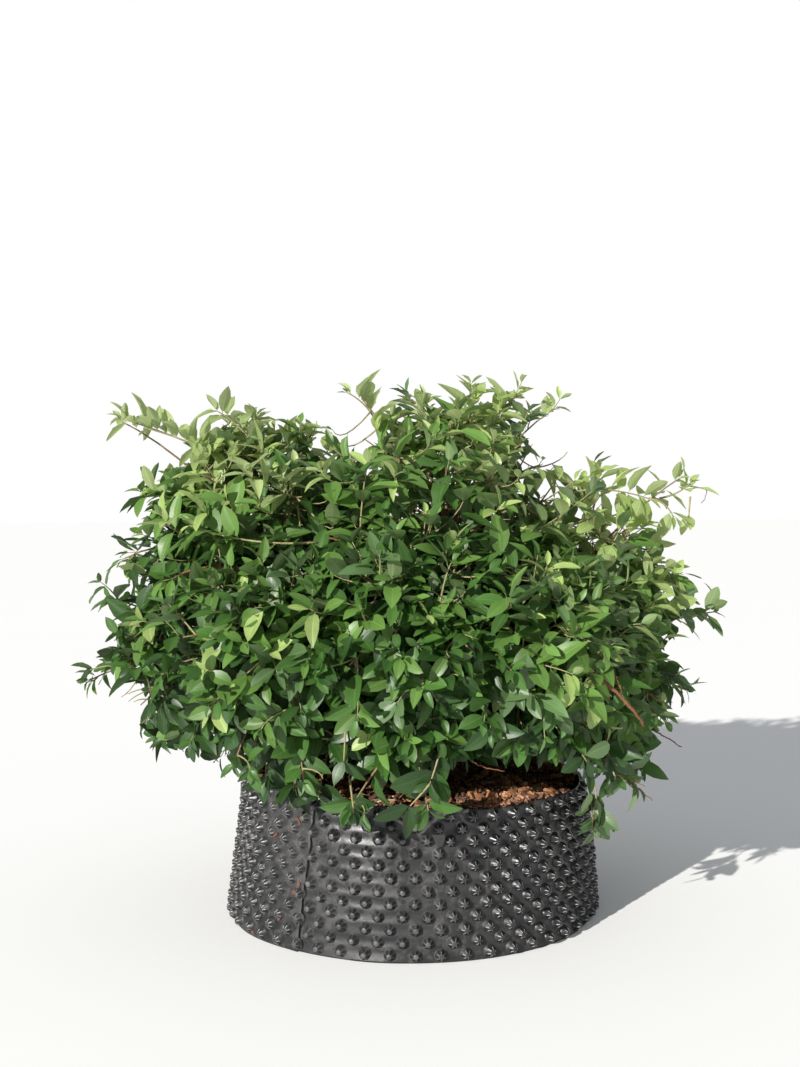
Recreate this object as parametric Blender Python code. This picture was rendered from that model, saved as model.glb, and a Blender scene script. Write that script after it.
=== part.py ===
# Potted italian honeysuckle: a dense, rounded shrub in a studded air-pruning pot.
# Metres, +Z up. The origin is the centre of the pot's flat underside, the front faces -Y.
# The crown is eleven masses of foliage. Each one grows on a bough of its own, and all the
# boughs leave the head of one short main stem that stands on the soil in the pot.

import math

import bmesh
import bpy
import numpy as np
from mathutils.bvhtree import BVHTree

# Clearances
GAP = 0.0003            # between pieces that meet
MASS_MARGIN = 0.001     # from a mass to the plane that it shares with its neighbour
LIMB_CLEARANCE = 0.012  # from a sample point of a leaf or twig to a limb's surface
POT_CLEARANCE = 0.006

# Pot, a cone of thick sheet with rows of hollow studs
POT_HEIGHT = 0.213
POT_BASE_RADIUS = 0.286
POT_TOP_RADIUS = 0.262
POT_WALL = 0.003
POT_FLOOR = 0.004
RIM_TILT = 0.011        # the cut edge rises to the left by this much and falls to the right
RIM_WAVE = 0.0015
RIM_WAVES = 7
STUD_HEIGHT = 0.009
STUD_COLUMNS = 100      # two to each stud, because the rows are staggered
STUD_ROWS = 12
STUD_EDGE = 0.6         # plain edge beyond the outer rows, in row pitches

# Soil
SOIL_SECTORS = 25
SOIL_BELOW_RIM = 0.010
SOIL_PATCH_RADIUS = 0.045
SOIL_PATCH_Z = 0.2115
SOIL_RINGS = 4
SOIL_LUMP = 0.0035
SOIL_LUMP_TURNS = 3     # lumps round the pot in each ring
HEAP_PLACE = (0.15, -0.15)
HEAP_HEIGHT = 0.008
HEAP_SPREAD = 0.06

# Main stem
STEM_HEAD = (0.012, 0.010, 0.278)
STEM_FLARE_RADIUS = 0.031
STEM_NECK_RADIUS = 0.019
STEM_HEAD_RADIUS = 0.023
STEM_SIDES = 12
STEM_RINGS = 7
STEM_TOP = 0.8          # height of the flat top over the head's middle, in head radii
FLARE_LOBES = 5
FLARE_DEPTH = 0.005
STUB_LENGTH = 0.052
STUB_RADIUS = 0.0085

# Boughs
BOUGH_SIDES = 6
BOUGH_RINGS = 6
BOUGH_BASE_RADIUS = 0.0082
BOUGH_TIP_RADIUS = 0.0048
BOUGH_RISE = 0.30       # how much steeper a bough starts than the straight way to its mass
BOUGH_END = 0.95        # where a bough ends, in parts of its mass's radius from the centre

# Stems, twigs and leaves in a mass
MASS_STEM_RADIUS = 0.0044
CORE_PART = 0.60        # the dense inside of a mass, in parts of its radii
CORE_INWARD = 0.26      # how much further it reaches towards the middle of the crown
CORE_MARGIN = 0.006     # from the core to the planes of the cell
CORE_CLEARANCE = 0.030  # from the core's corners to any limb
CORE_STEP = 0.94        # a corner too near a limb is drawn in by this, as often as it takes
CORE_BUMPS = 0.06       # the core's unevenness, in parts of its radii
CORE_WAVES = (9, 5, 8)  # waves of the unevenness along X, Y and Z
TWIGS_TRIED = 30
TWIG_PART = 0.95        # where a twig ends, in parts of the mass's radii
TWIG_LEAST_PART = 0.60  # a twig that the cell cuts shorter than this is left out
TWIG_SEAM = 0.015       # from a twig's tip to the plane that its mass shares with another
TWIG_RADIUS = 0.0032
TWIG_TIP_RADIUS = 0.0012
TWIG_RINGS = 3
TWIG_ARCH = 0.16
LEAST_LEAVES = 3        # a twig that would carry fewer is left out
LEAF_LENGTH = 0.114
LEAF_WIDTH = 0.52       # of its length
LEAF_WIDEST = 0.42      # place of the widest point along the leaf
LEAF_THICKNESS = 0.0032
LEAF_FOLD = 0.08        # rise of the two edges over the midrib, of the length
LEAF_SINK = 0.001       # how far the root lies past the twig's axis
LEAF_NECK = 0.14        # the part of a leaf next to its root that may touch its own twig
LEAF_SPREAD = 0.90      # how far a pair stands out sideways from its twig
LEAF_FORWARD = 0.42
TIP_SPREAD = 0.55       # how far the leaf at the tip leans off the twig's direction
LEAF_TURN = 0.8         # largest turn of a leaf off its place round the twig, in radians
LEAF_TRIES = 8          # poses tried for a leaf, each a little smaller, before it is skipped
LEAF_SHRINK = 0.04      # how much smaller each further try is, of the full size
TIP_LEAF_PART = 0.80    # leaf size at a twig's tip, of the full size
LARGEST_LEAF = 1.05     # the largest leaf, of the full size
LEAF_LIFT = 0.7         # how far blades turn upwards, against outwards
LEAF_TILT = 0.3         # how far a blade may tilt off that at random
FIRST_PAIR = 0.022      # from the twig's tip to the nearest pair of leaves
PAIR_SPACING = 0.045
PAIRS_ON_TWIG = 2
PAIRS_ON_LONG_SHOOT = 3
SEED = 7

# Each mass: centre and radii of its main body
MASSES = {
    "upper_left": ((-0.240, 0.005, 0.592), (0.170, 0.225, 0.156)),
    "top_centre": ((0.050, -0.010, 0.614), (0.200, 0.240, 0.166)),
    "upper_right": ((0.262, 0.030, 0.517), (0.142, 0.215, 0.133)),
    "left": ((-0.308, 0.000, 0.400), (0.156, 0.225, 0.140)),
    "right": ((0.262, -0.010, 0.376), (0.137, 0.215, 0.142)),
    "front_left": ((-0.190, -0.195, 0.432), (0.165, 0.155, 0.150)),
    "front_middle": ((-0.010, -0.240, 0.474), (0.145, 0.130, 0.150)),
    "front_right": ((0.165, -0.195, 0.430), (0.158, 0.155, 0.143)),
    "front_low": ((-0.005, -0.262, 0.326), (0.085, 0.070, 0.048)),
    "back_left": ((-0.145, 0.210, 0.431), (0.185, 0.155, 0.192)),
    "back_right": ((0.135, 0.210, 0.426), (0.180, 0.155, 0.188)),
}

# The whole crown, without its long shoots
CROWN_CENTRE = (-0.015, 0.000, 0.506)
CROWN_RADII = (0.450, 0.390, 0.280)
HIDDEN_PART = 0.60      # nothing grows nearer to the crown's centre than this part of its radii
CROWN_LOW = (-0.540, -0.410, 0.000)     # no leaf reaches beyond the box between these corners
CROWN_HIGH = (0.500, 0.410, 0.844)

# Long shoots that stand out of the crown's outline: the mass that each grows in, and where
# its last leaf ends
LONG_SHOOTS = {
    "upper_left": [(-0.458, -0.060, 0.776), (-0.258, -0.020, 0.782), (-0.422, -0.060, 0.664),
                   (-0.462, -0.050, 0.550), (-0.145, -0.030, 0.762)],
    "top_centre": [(-0.088, -0.030, 0.814), (0.004, -0.020, 0.816), (0.105, -0.010, 0.828),
                   (0.170, 0.010, 0.816), (0.232, 0.030, 0.790)],
    "upper_right": [(0.440, 0.030, 0.684), (0.300, 0.050, 0.702), (0.425, -0.020, 0.518)],
    "left": [(-0.518, -0.060, 0.362), (-0.490, 0.000, 0.494), (-0.405, -0.060, 0.262)],
    "right": [(0.488, -0.020, 0.470), (0.440, -0.060, 0.342), (0.262, -0.200, 0.146),
              (0.362, -0.060, 0.205), (0.308, -0.135, 0.208)],
    "front_left": [(-0.258, -0.285, 0.264), (-0.150, -0.310, 0.248)],
    "front_right": [(0.255, -0.235, 0.250)],
    "front_low": [(0.022, -0.330, 0.208), (-0.100, -0.325, 0.212)],
    "back_left": [(-0.270, 0.390, 0.566)],
    "back_right": [(0.290, 0.380, 0.551)],
}

GOLDEN_TURN = math.pi * (3 - math.sqrt(5))
FLAT_ANGLE = 0.001      # two faces that meet at less than this angle count as one
TINY = 1e-6
UP = np.array((0.0, 0.0, 1.0))


def unit(vector):
    return vector / np.linalg.norm(vector)


def material(name, colour, roughness):
    made = bpy.data.materials.new(name)
    made.use_nodes = True
    shader = made.node_tree.nodes["Principled BSDF"]
    shader.inputs["Base Color"].default_value = (*colour, 1.0)
    shader.inputs["Roughness"].default_value = roughness
    shader.inputs["Metallic"].default_value = 0.0
    made.diffuse_color = (*colour, 1.0)
    return made


def mesh_object(name, points, faces, finish=None):
    mesh = bpy.data.meshes.new(name)
    mesh.from_pydata([tuple(map(float, p)) for p in points], [], faces)
    if finish is not None:
        mesh.materials.append(finish)
    made = bpy.data.objects.new(name, mesh)
    bpy.context.scene.collection.objects.link(made)
    return made


def ring_faces(first, second, count):
    """Two triangles between each pair of neighbours on two rings, with outward sides."""
    faces = []
    for i in range(count):
        j = (i + 1) % count
        faces.append((first + i, first + j, second + j))
        faces.append((first + i, second + j, second + i))
    return faces


# Pot and soil

def rim_height(angle):
    wave = RIM_WAVE * math.sin(RIM_WAVES * angle)
    return POT_HEIGHT - RIM_TILT * math.cos(angle) + wave


def pot_radius(height):
    part = height / POT_HEIGHT
    return POT_BASE_RADIUS + (POT_TOP_RADIUS - POT_BASE_RADIUS) * part


def pot_levels():
    """Heights of the outer rings, as parts of the rim's height."""
    pitch = 1.0 / (STUD_ROWS - 1 + 2 * STUD_EDGE)
    rows = [(STUD_EDGE + row) * pitch for row in range(STUD_ROWS)]
    return [0.0] + rows + [1.0]


def stud_stands(column, ring):
    return 1 <= ring <= STUD_ROWS and (column + ring) % 2 == 0


def outer_ring(level, ring):
    points = []
    for column in range(STUD_COLUMNS):
        angle = 2 * math.pi * column / STUD_COLUMNS
        height = level * rim_height(angle)
        radius = pot_radius(height)
        if stud_stands(column, ring):
            radius += STUD_HEIGHT
        points.append((radius * math.cos(angle), radius * math.sin(angle), height))
    return points


def inner_ring(of_rim):
    points = []
    for column in range(STUD_COLUMNS):
        angle = 2 * math.pi * column / STUD_COLUMNS
        height = rim_height(angle) if of_rim else POT_FLOOR
        radius = pot_radius(height) - POT_WALL
        points.append((radius * math.cos(angle), radius * math.sin(angle), height))
    return points


def studded_band(first, second, ring):
    """Faces between ring and the one above, cut so that each stud is a four-sided point."""
    faces = []
    for i in range(STUD_COLUMNS):
        j = (i + 1) % STUD_COLUMNS
        low_left, low_right = first + i, first + j
        top_left, top_right = second + i, second + j
        if stud_stands(i, ring) or stud_stands(j, ring + 1):
            faces.append((low_left, low_right, top_left))
            faces.append((low_right, top_right, top_left))
        else:
            faces.append((low_left, low_right, top_right))
            faces.append((low_left, top_right, top_left))
    return faces


def build_pot(finish):
    points = []
    faces = []
    levels = pot_levels()
    for ring, level in enumerate(levels):
        points += outer_ring(level, ring)
    for ring in range(len(levels) - 1):
        faces += studded_band(ring * STUD_COLUMNS, (ring + 1) * STUD_COLUMNS, ring)
    rim_outside = (len(levels) - 1) * STUD_COLUMNS
    rim_inside = len(points)
    points += inner_ring(of_rim=True)
    floor = len(points)
    points += inner_ring(of_rim=False)
    faces += ring_faces(rim_outside, rim_inside, STUD_COLUMNS)
    faces += ring_faces(rim_inside, floor, STUD_COLUMNS)
    faces.append(tuple(floor + i for i in range(STUD_COLUMNS)))
    faces.append(tuple(reversed(range(STUD_COLUMNS))))
    return mesh_object("pot", points, faces, finish)


def soil_height(x, y):
    """Level near the stem, falling to just under the rim, with small lumps and one heap."""
    radius = math.hypot(x, y)
    if radius <= SOIL_PATCH_RADIUS + GAP:
        return SOIL_PATCH_Z
    angle = math.atan2(y, x)
    edge = rim_height(angle) - SOIL_BELOW_RIM
    part = (radius - SOIL_PATCH_RADIUS) / (POT_TOP_RADIUS - SOIL_PATCH_RADIUS)
    away = math.hypot(x - HEAP_PLACE[0], y - HEAP_PLACE[1]) / HEAP_SPREAD
    lump = SOIL_LUMP * math.sin(SOIL_LUMP_TURNS * angle + radius / SOIL_PATCH_RADIUS)
    return SOIL_PATCH_Z + (edge - SOIL_PATCH_Z) * part + lump + HEAP_HEIGHT * math.exp(-away * away)


def soil_ring(radius_at):
    points = []
    for sector in range(SOIL_SECTORS):
        angle = 2 * math.pi * sector / SOIL_SECTORS
        radius = radius_at(angle)
        points.append((radius * math.cos(angle), radius * math.sin(angle)))
    return points


def build_soil(finish):
    edge = soil_ring(lambda angle: pot_radius(rim_height(angle)) - POT_WALL - GAP)
    bottom = soil_ring(lambda angle: pot_radius(POT_FLOOR) - POT_WALL - GAP)
    points = [(x, y, POT_FLOOR + GAP) for x, y in bottom]
    points += [(x, y, soil_height(x, y)) for x, y in edge]
    faces = [tuple(reversed(range(SOIL_SECTORS)))]
    faces += ring_faces(0, SOIL_SECTORS, SOIL_SECTORS)
    for ring in range(1, SOIL_RINGS + 1):
        part = ring / SOIL_RINGS
        inner = [unit(np.array(p)) * SOIL_PATCH_RADIUS for p in edge]
        row = [np.array(p) * (1 - part) + q * part for p, q in zip(edge, inner)]
        points += [(p[0], p[1], soil_height(p[0], p[1])) for p in row]
        faces += ring_faces(ring * SOIL_SECTORS, (ring + 1) * SOIL_SECTORS, SOIL_SECTORS)
    last = (SOIL_RINGS + 1) * SOIL_SECTORS
    faces.append(tuple(last + i for i in range(SOIL_SECTORS)))
    return mesh_object("soil", points, faces, finish)


# Limbs

def cross_frame(direction):
    """Two directions at right angles to a limb's own."""
    helper = UP if abs(direction[2]) < 0.9 else np.array((1.0, 0.0, 0.0))
    across = unit(np.cross(helper, direction))
    return across, np.cross(direction, across)


def path_ways(path, start_way=None, end_way=None):
    """The direction of a path at each of its points. The two ends may be given."""
    steps = np.diff(np.array(path), axis=0)
    ways = [steps[0]] + list(steps[:-1] + steps[1:]) + [steps[-1]]
    if start_way is not None:
        ways[0] = start_way
    if end_way is not None:
        ways[-1] = end_way
    return [unit(way) for way in ways]


def tube(path, radii, sides, ways=None):
    """Points and faces of a closed tube with flat ends square to its path."""
    points = []
    faces = []
    ways = ways or path_ways(path)
    for i, place in enumerate(path):
        across, upward = cross_frame(ways[i])
        for side in range(sides):
            angle = 2 * math.pi * side / sides
            offset = across * math.cos(angle) + upward * math.sin(angle)
            points.append(place + offset * radii[i])
        if i:
            faces += ring_faces((i - 1) * sides, i * sides, sides)
    last = (len(path) - 1) * sides
    faces.append(tuple(reversed(range(sides))))
    faces.append(tuple(last + i for i in range(sides)))
    return points, faces


def curve_through(start, start_way, end, end_way, count):
    """A smooth path that leaves start along start_way and reaches end along end_way."""
    span = np.linalg.norm(end - start) / 3
    bends = [start, start + start_way * span, end - end_way * span, end]
    path = []
    for i in range(count):
        t = i / (count - 1)
        weights = ((1 - t) ** 3, 3 * t * (1 - t) ** 2, 3 * t * t * (1 - t), t ** 3)
        path.append(sum(w * p for w, p in zip(weights, bends)))
    return path


def reach_of(mass, direction):
    """How far a mass's main body reaches from its centre along a direction."""
    radii = np.array(MASSES[mass][1])
    return 1.0 / np.linalg.norm(direction / radii)


def mass_entry(mass):
    """Where a mass's bough ends, and the direction from there to the mass's centre."""
    centre = np.array(MASSES[mass][0])
    way = unit(centre - np.array(STEM_HEAD))
    return centre - way * reach_of(mass, way) * BOUGH_END, way


def bough_start(mass):
    """The cap of a bough's stub on the main stem, and the direction that it faces."""
    head = np.array(STEM_HEAD)
    entry, way = mass_entry(mass)
    out = unit(unit(entry - head) + UP * BOUGH_RISE)
    return head + out * STUB_LENGTH, out


def bough_path(mass):
    start, out = bough_start(mass)
    entry, way = mass_entry(mass)
    return curve_through(start + out * GAP, out, entry, way, BOUGH_RINGS)


def build_bough(mass, finish):
    """One tapering limb, with ends square to its stub and to the stem of its mass."""
    path = bough_path(mass)
    out = bough_start(mass)[1]
    way = mass_entry(mass)[1]
    radii = np.linspace(BOUGH_BASE_RADIUS, BOUGH_TIP_RADIUS, BOUGH_RINGS)
    points, faces = tube(path, radii, BOUGH_SIDES, path_ways(path, out, way))
    return mesh_object("bough_" + mass, points, faces, finish)


def stem_ring(part):
    """One ring of the main stem: part is 0 at the flat foot and 1 at the top of the head."""
    head = np.array(STEM_HEAD)
    foot = SOIL_PATCH_Z + GAP
    top = head[2] + STEM_HEAD_RADIUS * STEM_TOP
    height = foot + (top - foot) * part
    flare = (1 - part) ** 3
    swell = math.sin(math.pi * part ** 2)
    radius = STEM_NECK_RADIUS + (STEM_FLARE_RADIUS - STEM_NECK_RADIUS) * flare
    radius += (STEM_HEAD_RADIUS - STEM_NECK_RADIUS) * swell
    points = []
    for side in range(STEM_SIDES):
        angle = 2 * math.pi * side / STEM_SIDES
        wide = radius + FLARE_DEPTH * flare * math.cos(FLARE_LOBES * angle)
        x = head[0] * part + wide * math.cos(angle)
        y = head[1] * part + wide * math.sin(angle)
        points.append((x, y, height))
    return points


def build_main_stem(finish):
    points = []
    faces = [tuple(reversed(range(STEM_SIDES)))]
    for ring in range(STEM_RINGS):
        points += stem_ring(ring / (STEM_RINGS - 1))
        if ring:
            faces += ring_faces((ring - 1) * STEM_SIDES, ring * STEM_SIDES, STEM_SIDES)
    last = (STEM_RINGS - 1) * STEM_SIDES
    faces.append(tuple(last + i for i in range(STEM_SIDES)))
    body = mesh_object("main_stem", points, faces, finish)
    stubs = []
    for mass in MASSES:
        cap, out = bough_start(mass)
        path = [np.array(STEM_HEAD), cap]
        stubs.append(mesh_object("stub", *tube(path, [STUB_RADIUS] * 2, BOUGH_SIDES)))
    return fuse(body, stubs, "EXACT")


# Space of a mass

def cell_planes(mass):
    """Planes between a mass and each other one, as outward normals and distances."""
    centre, radii = (np.array(v) for v in MASSES[mass])
    normals = []
    distances = []
    for other in MASSES:
        if other == mass:
            continue
        place, size = (np.array(v) for v in MASSES[other])
        apart = np.linalg.norm(place - centre)
        share = (apart ** 2 + radii.mean() ** 2 - size.mean() ** 2) / (2 * apart)
        normals.append((place - centre) / apart)
        distances.append(normals[-1] @ centre + share)
    return np.array(normals), np.array(distances)


def in_cell(points, planes, margin):
    normals, distances = planes
    return bool((points @ normals.T <= distances - margin).all())


def all_limbs():
    """Every straight piece of the boughs and of the main stem: two ends and a radius."""
    pieces = []
    for mass in MASSES:
        path = [np.array(STEM_HEAD)] + bough_path(mass)
        pieces += [(a, b, BOUGH_BASE_RADIUS) for a, b in zip(path[:-1], path[1:])]
    foot = np.array((0.0, 0.0, SOIL_PATCH_Z))
    pieces.append((foot, np.array(STEM_HEAD), STEM_FLARE_RADIUS))
    return pieces


def clear_of_limbs(points, limbs, clearance):
    for start, end, radius in limbs:
        along = end - start
        part = np.clip((points - start) @ along / (along @ along), 0, 1)
        nearest = start + part[:, None] * along
        if np.linalg.norm(points - nearest, axis=1).min() < radius + clearance:
            return False
    return True


def clear_of_pot(points):
    radius = np.hypot(points[:, 0], points[:, 1])
    outside = pot_radius(points[:, 2]) + STUD_HEIGHT + POT_CLEARANCE
    above = POT_HEIGHT + RIM_TILT + HEAP_HEIGHT + POT_CLEARANCE
    return bool(((radius > outside) | (points[:, 2] > above)).all())


# Twigs and leaves

def even_directions(count):
    """Directions spread evenly over a sphere."""
    found = []
    for i in range(count):
        height = 1 - 2 * (i + 0.5) / count
        flat = math.sqrt(1 - height * height)
        turn = GOLDEN_TURN * i
        found.append(np.array((flat * math.cos(turn), flat * math.sin(turn), height)))
    return found


def cell_reach(centre, direction, planes):
    """How far a ray from the centre runs before it meets the planes of the cell."""
    normals, distances = planes
    facing = normals @ direction
    room = distances - normals @ centre
    ahead = facing > TINY
    return (room[ahead] / facing[ahead]).min() if ahead.any() else math.inf


def hidden(place):
    """Whether a place lies deep inside the crown, where no leaf shows."""
    offset = (place - np.array(CROWN_CENTRE)) / np.array(CROWN_RADII)
    return np.linalg.norm(offset) < HIDDEN_PART


def twig_tips(mass, planes):
    centre = np.array(MASSES[mass][0])
    tips = []
    for direction in even_directions(TWIGS_TRIED):
        full = reach_of(mass, direction) * TWIG_PART
        reach = min(full, cell_reach(centre, direction, planes) - TWIG_SEAM)
        tip = centre + direction * reach
        if reach >= TWIG_LEAST_PART * full and not hidden(tip):
            tips.append(tip)
    return tips


def long_tips(mass):
    """Where the long shoots of a mass end, short of their last leaves."""
    centre = np.array(MASSES[mass][0])
    ends = [np.array(end) for end in LONG_SHOOTS.get(mass, [])]
    return [end - unit(end - centre) * LEAF_LENGTH * TIP_LEAF_PART for end in ends]


def twig_path(start, tip, rings):
    """An arching path: it leaves the middle of the mass and bends over towards its tip."""
    way = tip - start
    top = start + way / 2 + UP * TWIG_ARCH * np.linalg.norm(way[:2])
    path = []
    for i in range(rings):
        t = i / (rings - 1)
        path.append((1 - t) ** 2 * start + 2 * t * (1 - t) * top + t * t * tip)
    return path


def point_along(path, back):
    """The place and direction on a path at a distance back from its tip."""
    for i in range(len(path) - 1, 0, -1):
        step = path[i] - path[i - 1]
        length = np.linalg.norm(step)
        if back <= length or i == 1:
            return path[i] - step * min(back / length, 1.0), step / length
        back -= length


def leaf_shape(root, way, face, length):
    """A pointed blade with six faces, folded upwards along its midrib."""
    side = unit(np.cross(face, way))
    face = np.cross(way, side)
    start = root - way * LEAF_SINK
    middle = start + way * length * LEAF_WIDEST
    half = side * length * LEAF_WIDTH / 2
    rise = face * length * LEAF_FOLD
    thick = face * LEAF_THICKNESS
    tip = start + way * length
    return np.array((start, middle + half + rise, middle - half + rise, tip, middle + thick))


LEAF_FACES = [(0, 2, 4), (2, 3, 4), (3, 1, 4), (1, 0, 4), (3, 2, 0), (1, 3, 0)]


def leaf_samples(leaf):
    """The corners of a leaf and points between them, for tests against its surroundings."""
    start, left, right, tip, top = leaf
    between = [(start + left) / 2, (start + right) / 2, (left + tip) / 2,
               (right + tip) / 2, (start + top) / 2, (tip + top) / 2,
               (left + top) / 2, (right + top) / 2]
    return np.array([left, right, tip, top] + between)


def sideways(along, turn):
    """The direction at right angles to a twig that lies at an angle round it."""
    across, upward = cross_frame(along)
    return across * math.cos(turn) + upward * math.sin(turn)


def leaf_face(way, outward, draw):
    """The side of a blade that is turned to the light: up, and out of the crown."""
    wanted = UP * LEAF_LIFT + outward + draw.uniform(-LEAF_TILT, LEAF_TILT, 3)
    return unit(wanted - way * (wanted @ way))


def leaf_places(path, pairs):
    """Where leaves stand on a twig: one at its tip, then pairs, each turned a quarter."""
    tip, along = point_along(path, 0.0)
    places = [(tip, along, None)]
    for pair in range(pairs):
        root, along = point_along(path, FIRST_PAIR + PAIR_SPACING * pair)
        turn = math.pi / 2 * (pair % 2)
        places += [(root, along, turn), (root, along, turn + math.pi)]
    return places


def try_leaf(place, centre, straight, tries, draw):
    """One pose of a leaf at its place on the twig."""
    root, along, turn = place
    size = LEAF_LENGTH * (draw.uniform(TIP_LEAF_PART, LARGEST_LEAF) - LEAF_SHRINK * tries)
    if turn is None:
        lean = 0.0 if straight else TIP_SPREAD
        way = unit(along + sideways(along, draw.uniform(0, 2 * math.pi)) * lean)
        size = min(size, LEAF_LENGTH * TIP_LEAF_PART)
    else:
        out = sideways(along, turn + draw.uniform(-LEAF_TURN, LEAF_TURN))
        way = unit(along * LEAF_FORWARD + out * LEAF_SPREAD)
    outward = unit(unit(root - centre) + unit(root - np.array(STEM_HEAD)))
    return leaf_shape(root, way, leaf_face(way, outward, draw), size)


def blade_tree(leaf):
    """The surface of a leaf beyond its neck, for tests against its neighbours."""
    cut = leaf.copy()
    cut[0] = leaf[0] + (leaf[3] - leaf[0]) * LEAF_NECK
    return BVHTree.FromPolygons(cut.tolist(), LEAF_FACES)


def tube_tree(points, faces):
    return BVHTree.FromPolygons([tuple(p) for p in points], faces)


def crosses_any(tree, others):
    return any(tree.overlap(other) for other in others)


def core_reach(centre, direction, mass, planes):
    """How far the uneven core reaches along a direction, longest towards the crown's middle."""
    inward = unit(np.array(CROWN_CENTRE) - centre)
    waves = direction * np.array(CORE_WAVES)
    bumps = math.sin(waves[0] + waves[1]) * math.cos(waves[2])
    part = CORE_PART + CORE_BUMPS * bumps + CORE_INWARD * max(direction @ inward, 0.0)
    full = reach_of(mass, direction) * part
    return min(full, cell_reach(centre, direction, planes) - CORE_MARGIN)


def outside_core(point, mass, planes):
    """Whether a point lies outside the core of a mass, with its stem left out."""
    offset = point - np.array(MASSES[mass][0])
    distance = np.linalg.norm(offset)
    if distance < MASS_STEM_RADIUS:
        return False
    return distance > core_reach(point - offset, offset / distance, mass, planes)


def core_corner(mass, direction, space):
    """One corner of the core, drawn in until it is clear of every limb."""
    centre = np.array(MASSES[mass][0])
    reach = core_reach(centre, direction, mass, space.planes)
    while not clear_of_limbs((centre + direction * reach)[None], space.limbs, CORE_CLEARANCE):
        reach *= CORE_STEP
    return centre + direction * reach


def build_core(mass, space, finish):
    """The dense inside of a mass, that its twigs and leaves stand out of."""
    radii = np.array(MASSES[mass][1])
    shape = bmesh.new()
    bmesh.ops.create_icosphere(shape, subdivisions=1, radius=1.0)
    for corner in shape.verts:
        corner.co = core_corner(mass, unit(np.array(corner.co) * radii), space)
    mesh = bpy.data.meshes.new("foliage_" + mass)
    shape.to_mesh(mesh)
    shape.free()
    mesh.materials.append(finish)
    core = bpy.data.objects.new("foliage_" + mass, mesh)
    bpy.context.scene.collection.objects.link(core)
    return core


def mass_stem(mass):
    """The stem of a mass, from its bough's tip to the middle of the core."""
    entry, way = mass_entry(mass)
    centre = np.array(MASSES[mass][0])
    path = [entry + way * GAP, (entry + centre) / 2, centre]
    radii = np.linspace(MASS_STEM_RADIUS, TWIG_RADIUS, len(path))
    return tube(path, radii, 4)


class Space:
    """The room of one mass: its cell, less the limbs and the pot."""

    def __init__(self, mass, limbs):
        self.planes = cell_planes(mass)
        self.limbs = limbs

    def holds(self, points, margin):
        inside = (points > CROWN_LOW).all() and (points < CROWN_HIGH).all()
        return (inside and in_cell(points, self.planes, margin) and clear_of_pot(points)
                and clear_of_limbs(points, self.limbs, LIMB_CLEARANCE))


def twigs_of(mass, space):
    """Twigs that keep to the space of their mass: a path, pairs of leaves, and if long."""
    centre = np.array(MASSES[mass][0])
    tips = [(tip, PAIRS_ON_TWIG, False) for tip in twig_tips(mass, space.planes)]
    tips += [(tip, PAIRS_ON_LONG_SHOOT, True) for tip in long_tips(mass)]
    twigs = [(twig_path(centre, tip, TWIG_RINGS), pairs, long) for tip, pairs, long in tips]
    return [twig for twig in twigs
            if space.holds(np.array(twig[0][1:]), TWIG_RADIUS + MASS_MARGIN)]


def leaves_on(twig, mass, space, taken, draw):
    """Leaves on one twig. One that finds no free pose is skipped."""
    path, pairs, long = twig
    centre = np.array(MASSES[mass][0])
    leaves = []
    for place in leaf_places(path, pairs):
        if not outside_core(place[0], mass, space.planes):
            continue
        for tries in range(LEAF_TRIES):
            leaf = try_leaf(place, centre, long, tries, draw)
            tree = blade_tree(leaf)
            if space.holds(leaf_samples(leaf), MASS_MARGIN) and not crosses_any(tree, taken):
                taken.append(tree)
                leaves.append(leaf)
                break
    return leaves


def build_mass(mass, limbs, finish, seed):
    """One mass: core, stem, twigs and leaves, fused. What would leave its space is skipped."""
    draw = np.random.default_rng(seed)
    space = Space(mass, limbs)
    twigs = twigs_of(mass, space)
    radii = np.linspace(TWIG_RADIUS, TWIG_TIP_RADIUS, TWIG_RINGS)
    tubes = [tube(twig[0], radii, 3) for twig in twigs]
    taken = [tube_tree(*shape) for shape in tubes]
    pieces = [mesh_object("stem", *mass_stem(mass))]
    count = 0
    for twig, shape in zip(twigs, tubes):
        leaves = leaves_on(twig, mass, space, taken, draw)
        if len(leaves) < LEAST_LEAVES:
            continue
        pieces.append(mesh_object("twig", *shape))
        pieces += [mesh_object("leaf", leaf, LEAF_FACES) for leaf in leaves]
        count += len(leaves)
    made = fuse(build_core(mass, space, finish), pieces, "MANIFOLD")
    print(mass, "leaves", count, "triangles", len(made.data.polygons))
    return made


# Fusing

def shells_of(shape):
    """The separate shells of a mesh, each as a list of faces."""
    left = set(shape.faces)
    shells = []
    while left:
        start = left.pop()
        shell = [start]
        edge = [start]
        while edge:
            face = edge.pop()
            for corner in face.verts:
                for near in corner.link_faces:
                    if near in left:
                        left.remove(near)
                        shell.append(near)
                        edge.append(near)
        shells.append(shell)
    return shells


def keep_outer_shell(mesh):
    """Drops loose scraps and fills sealed hollows, by keeping only the largest shell.

    Flat faces that the union cut up are made whole again before that.
    """
    shape = bmesh.new()
    shape.from_mesh(mesh)
    bmesh.ops.dissolve_limit(shape, angle_limit=FLAT_ANGLE, verts=shape.verts, edges=shape.edges)
    bmesh.ops.triangulate(shape, faces=shape.faces)
    shells = sorted(shells_of(shape), key=len)
    for shell in shells[:-1]:
        bmesh.ops.delete(shape, geom=shell, context="FACES")
    shape.to_mesh(mesh)
    shape.free()


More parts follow.
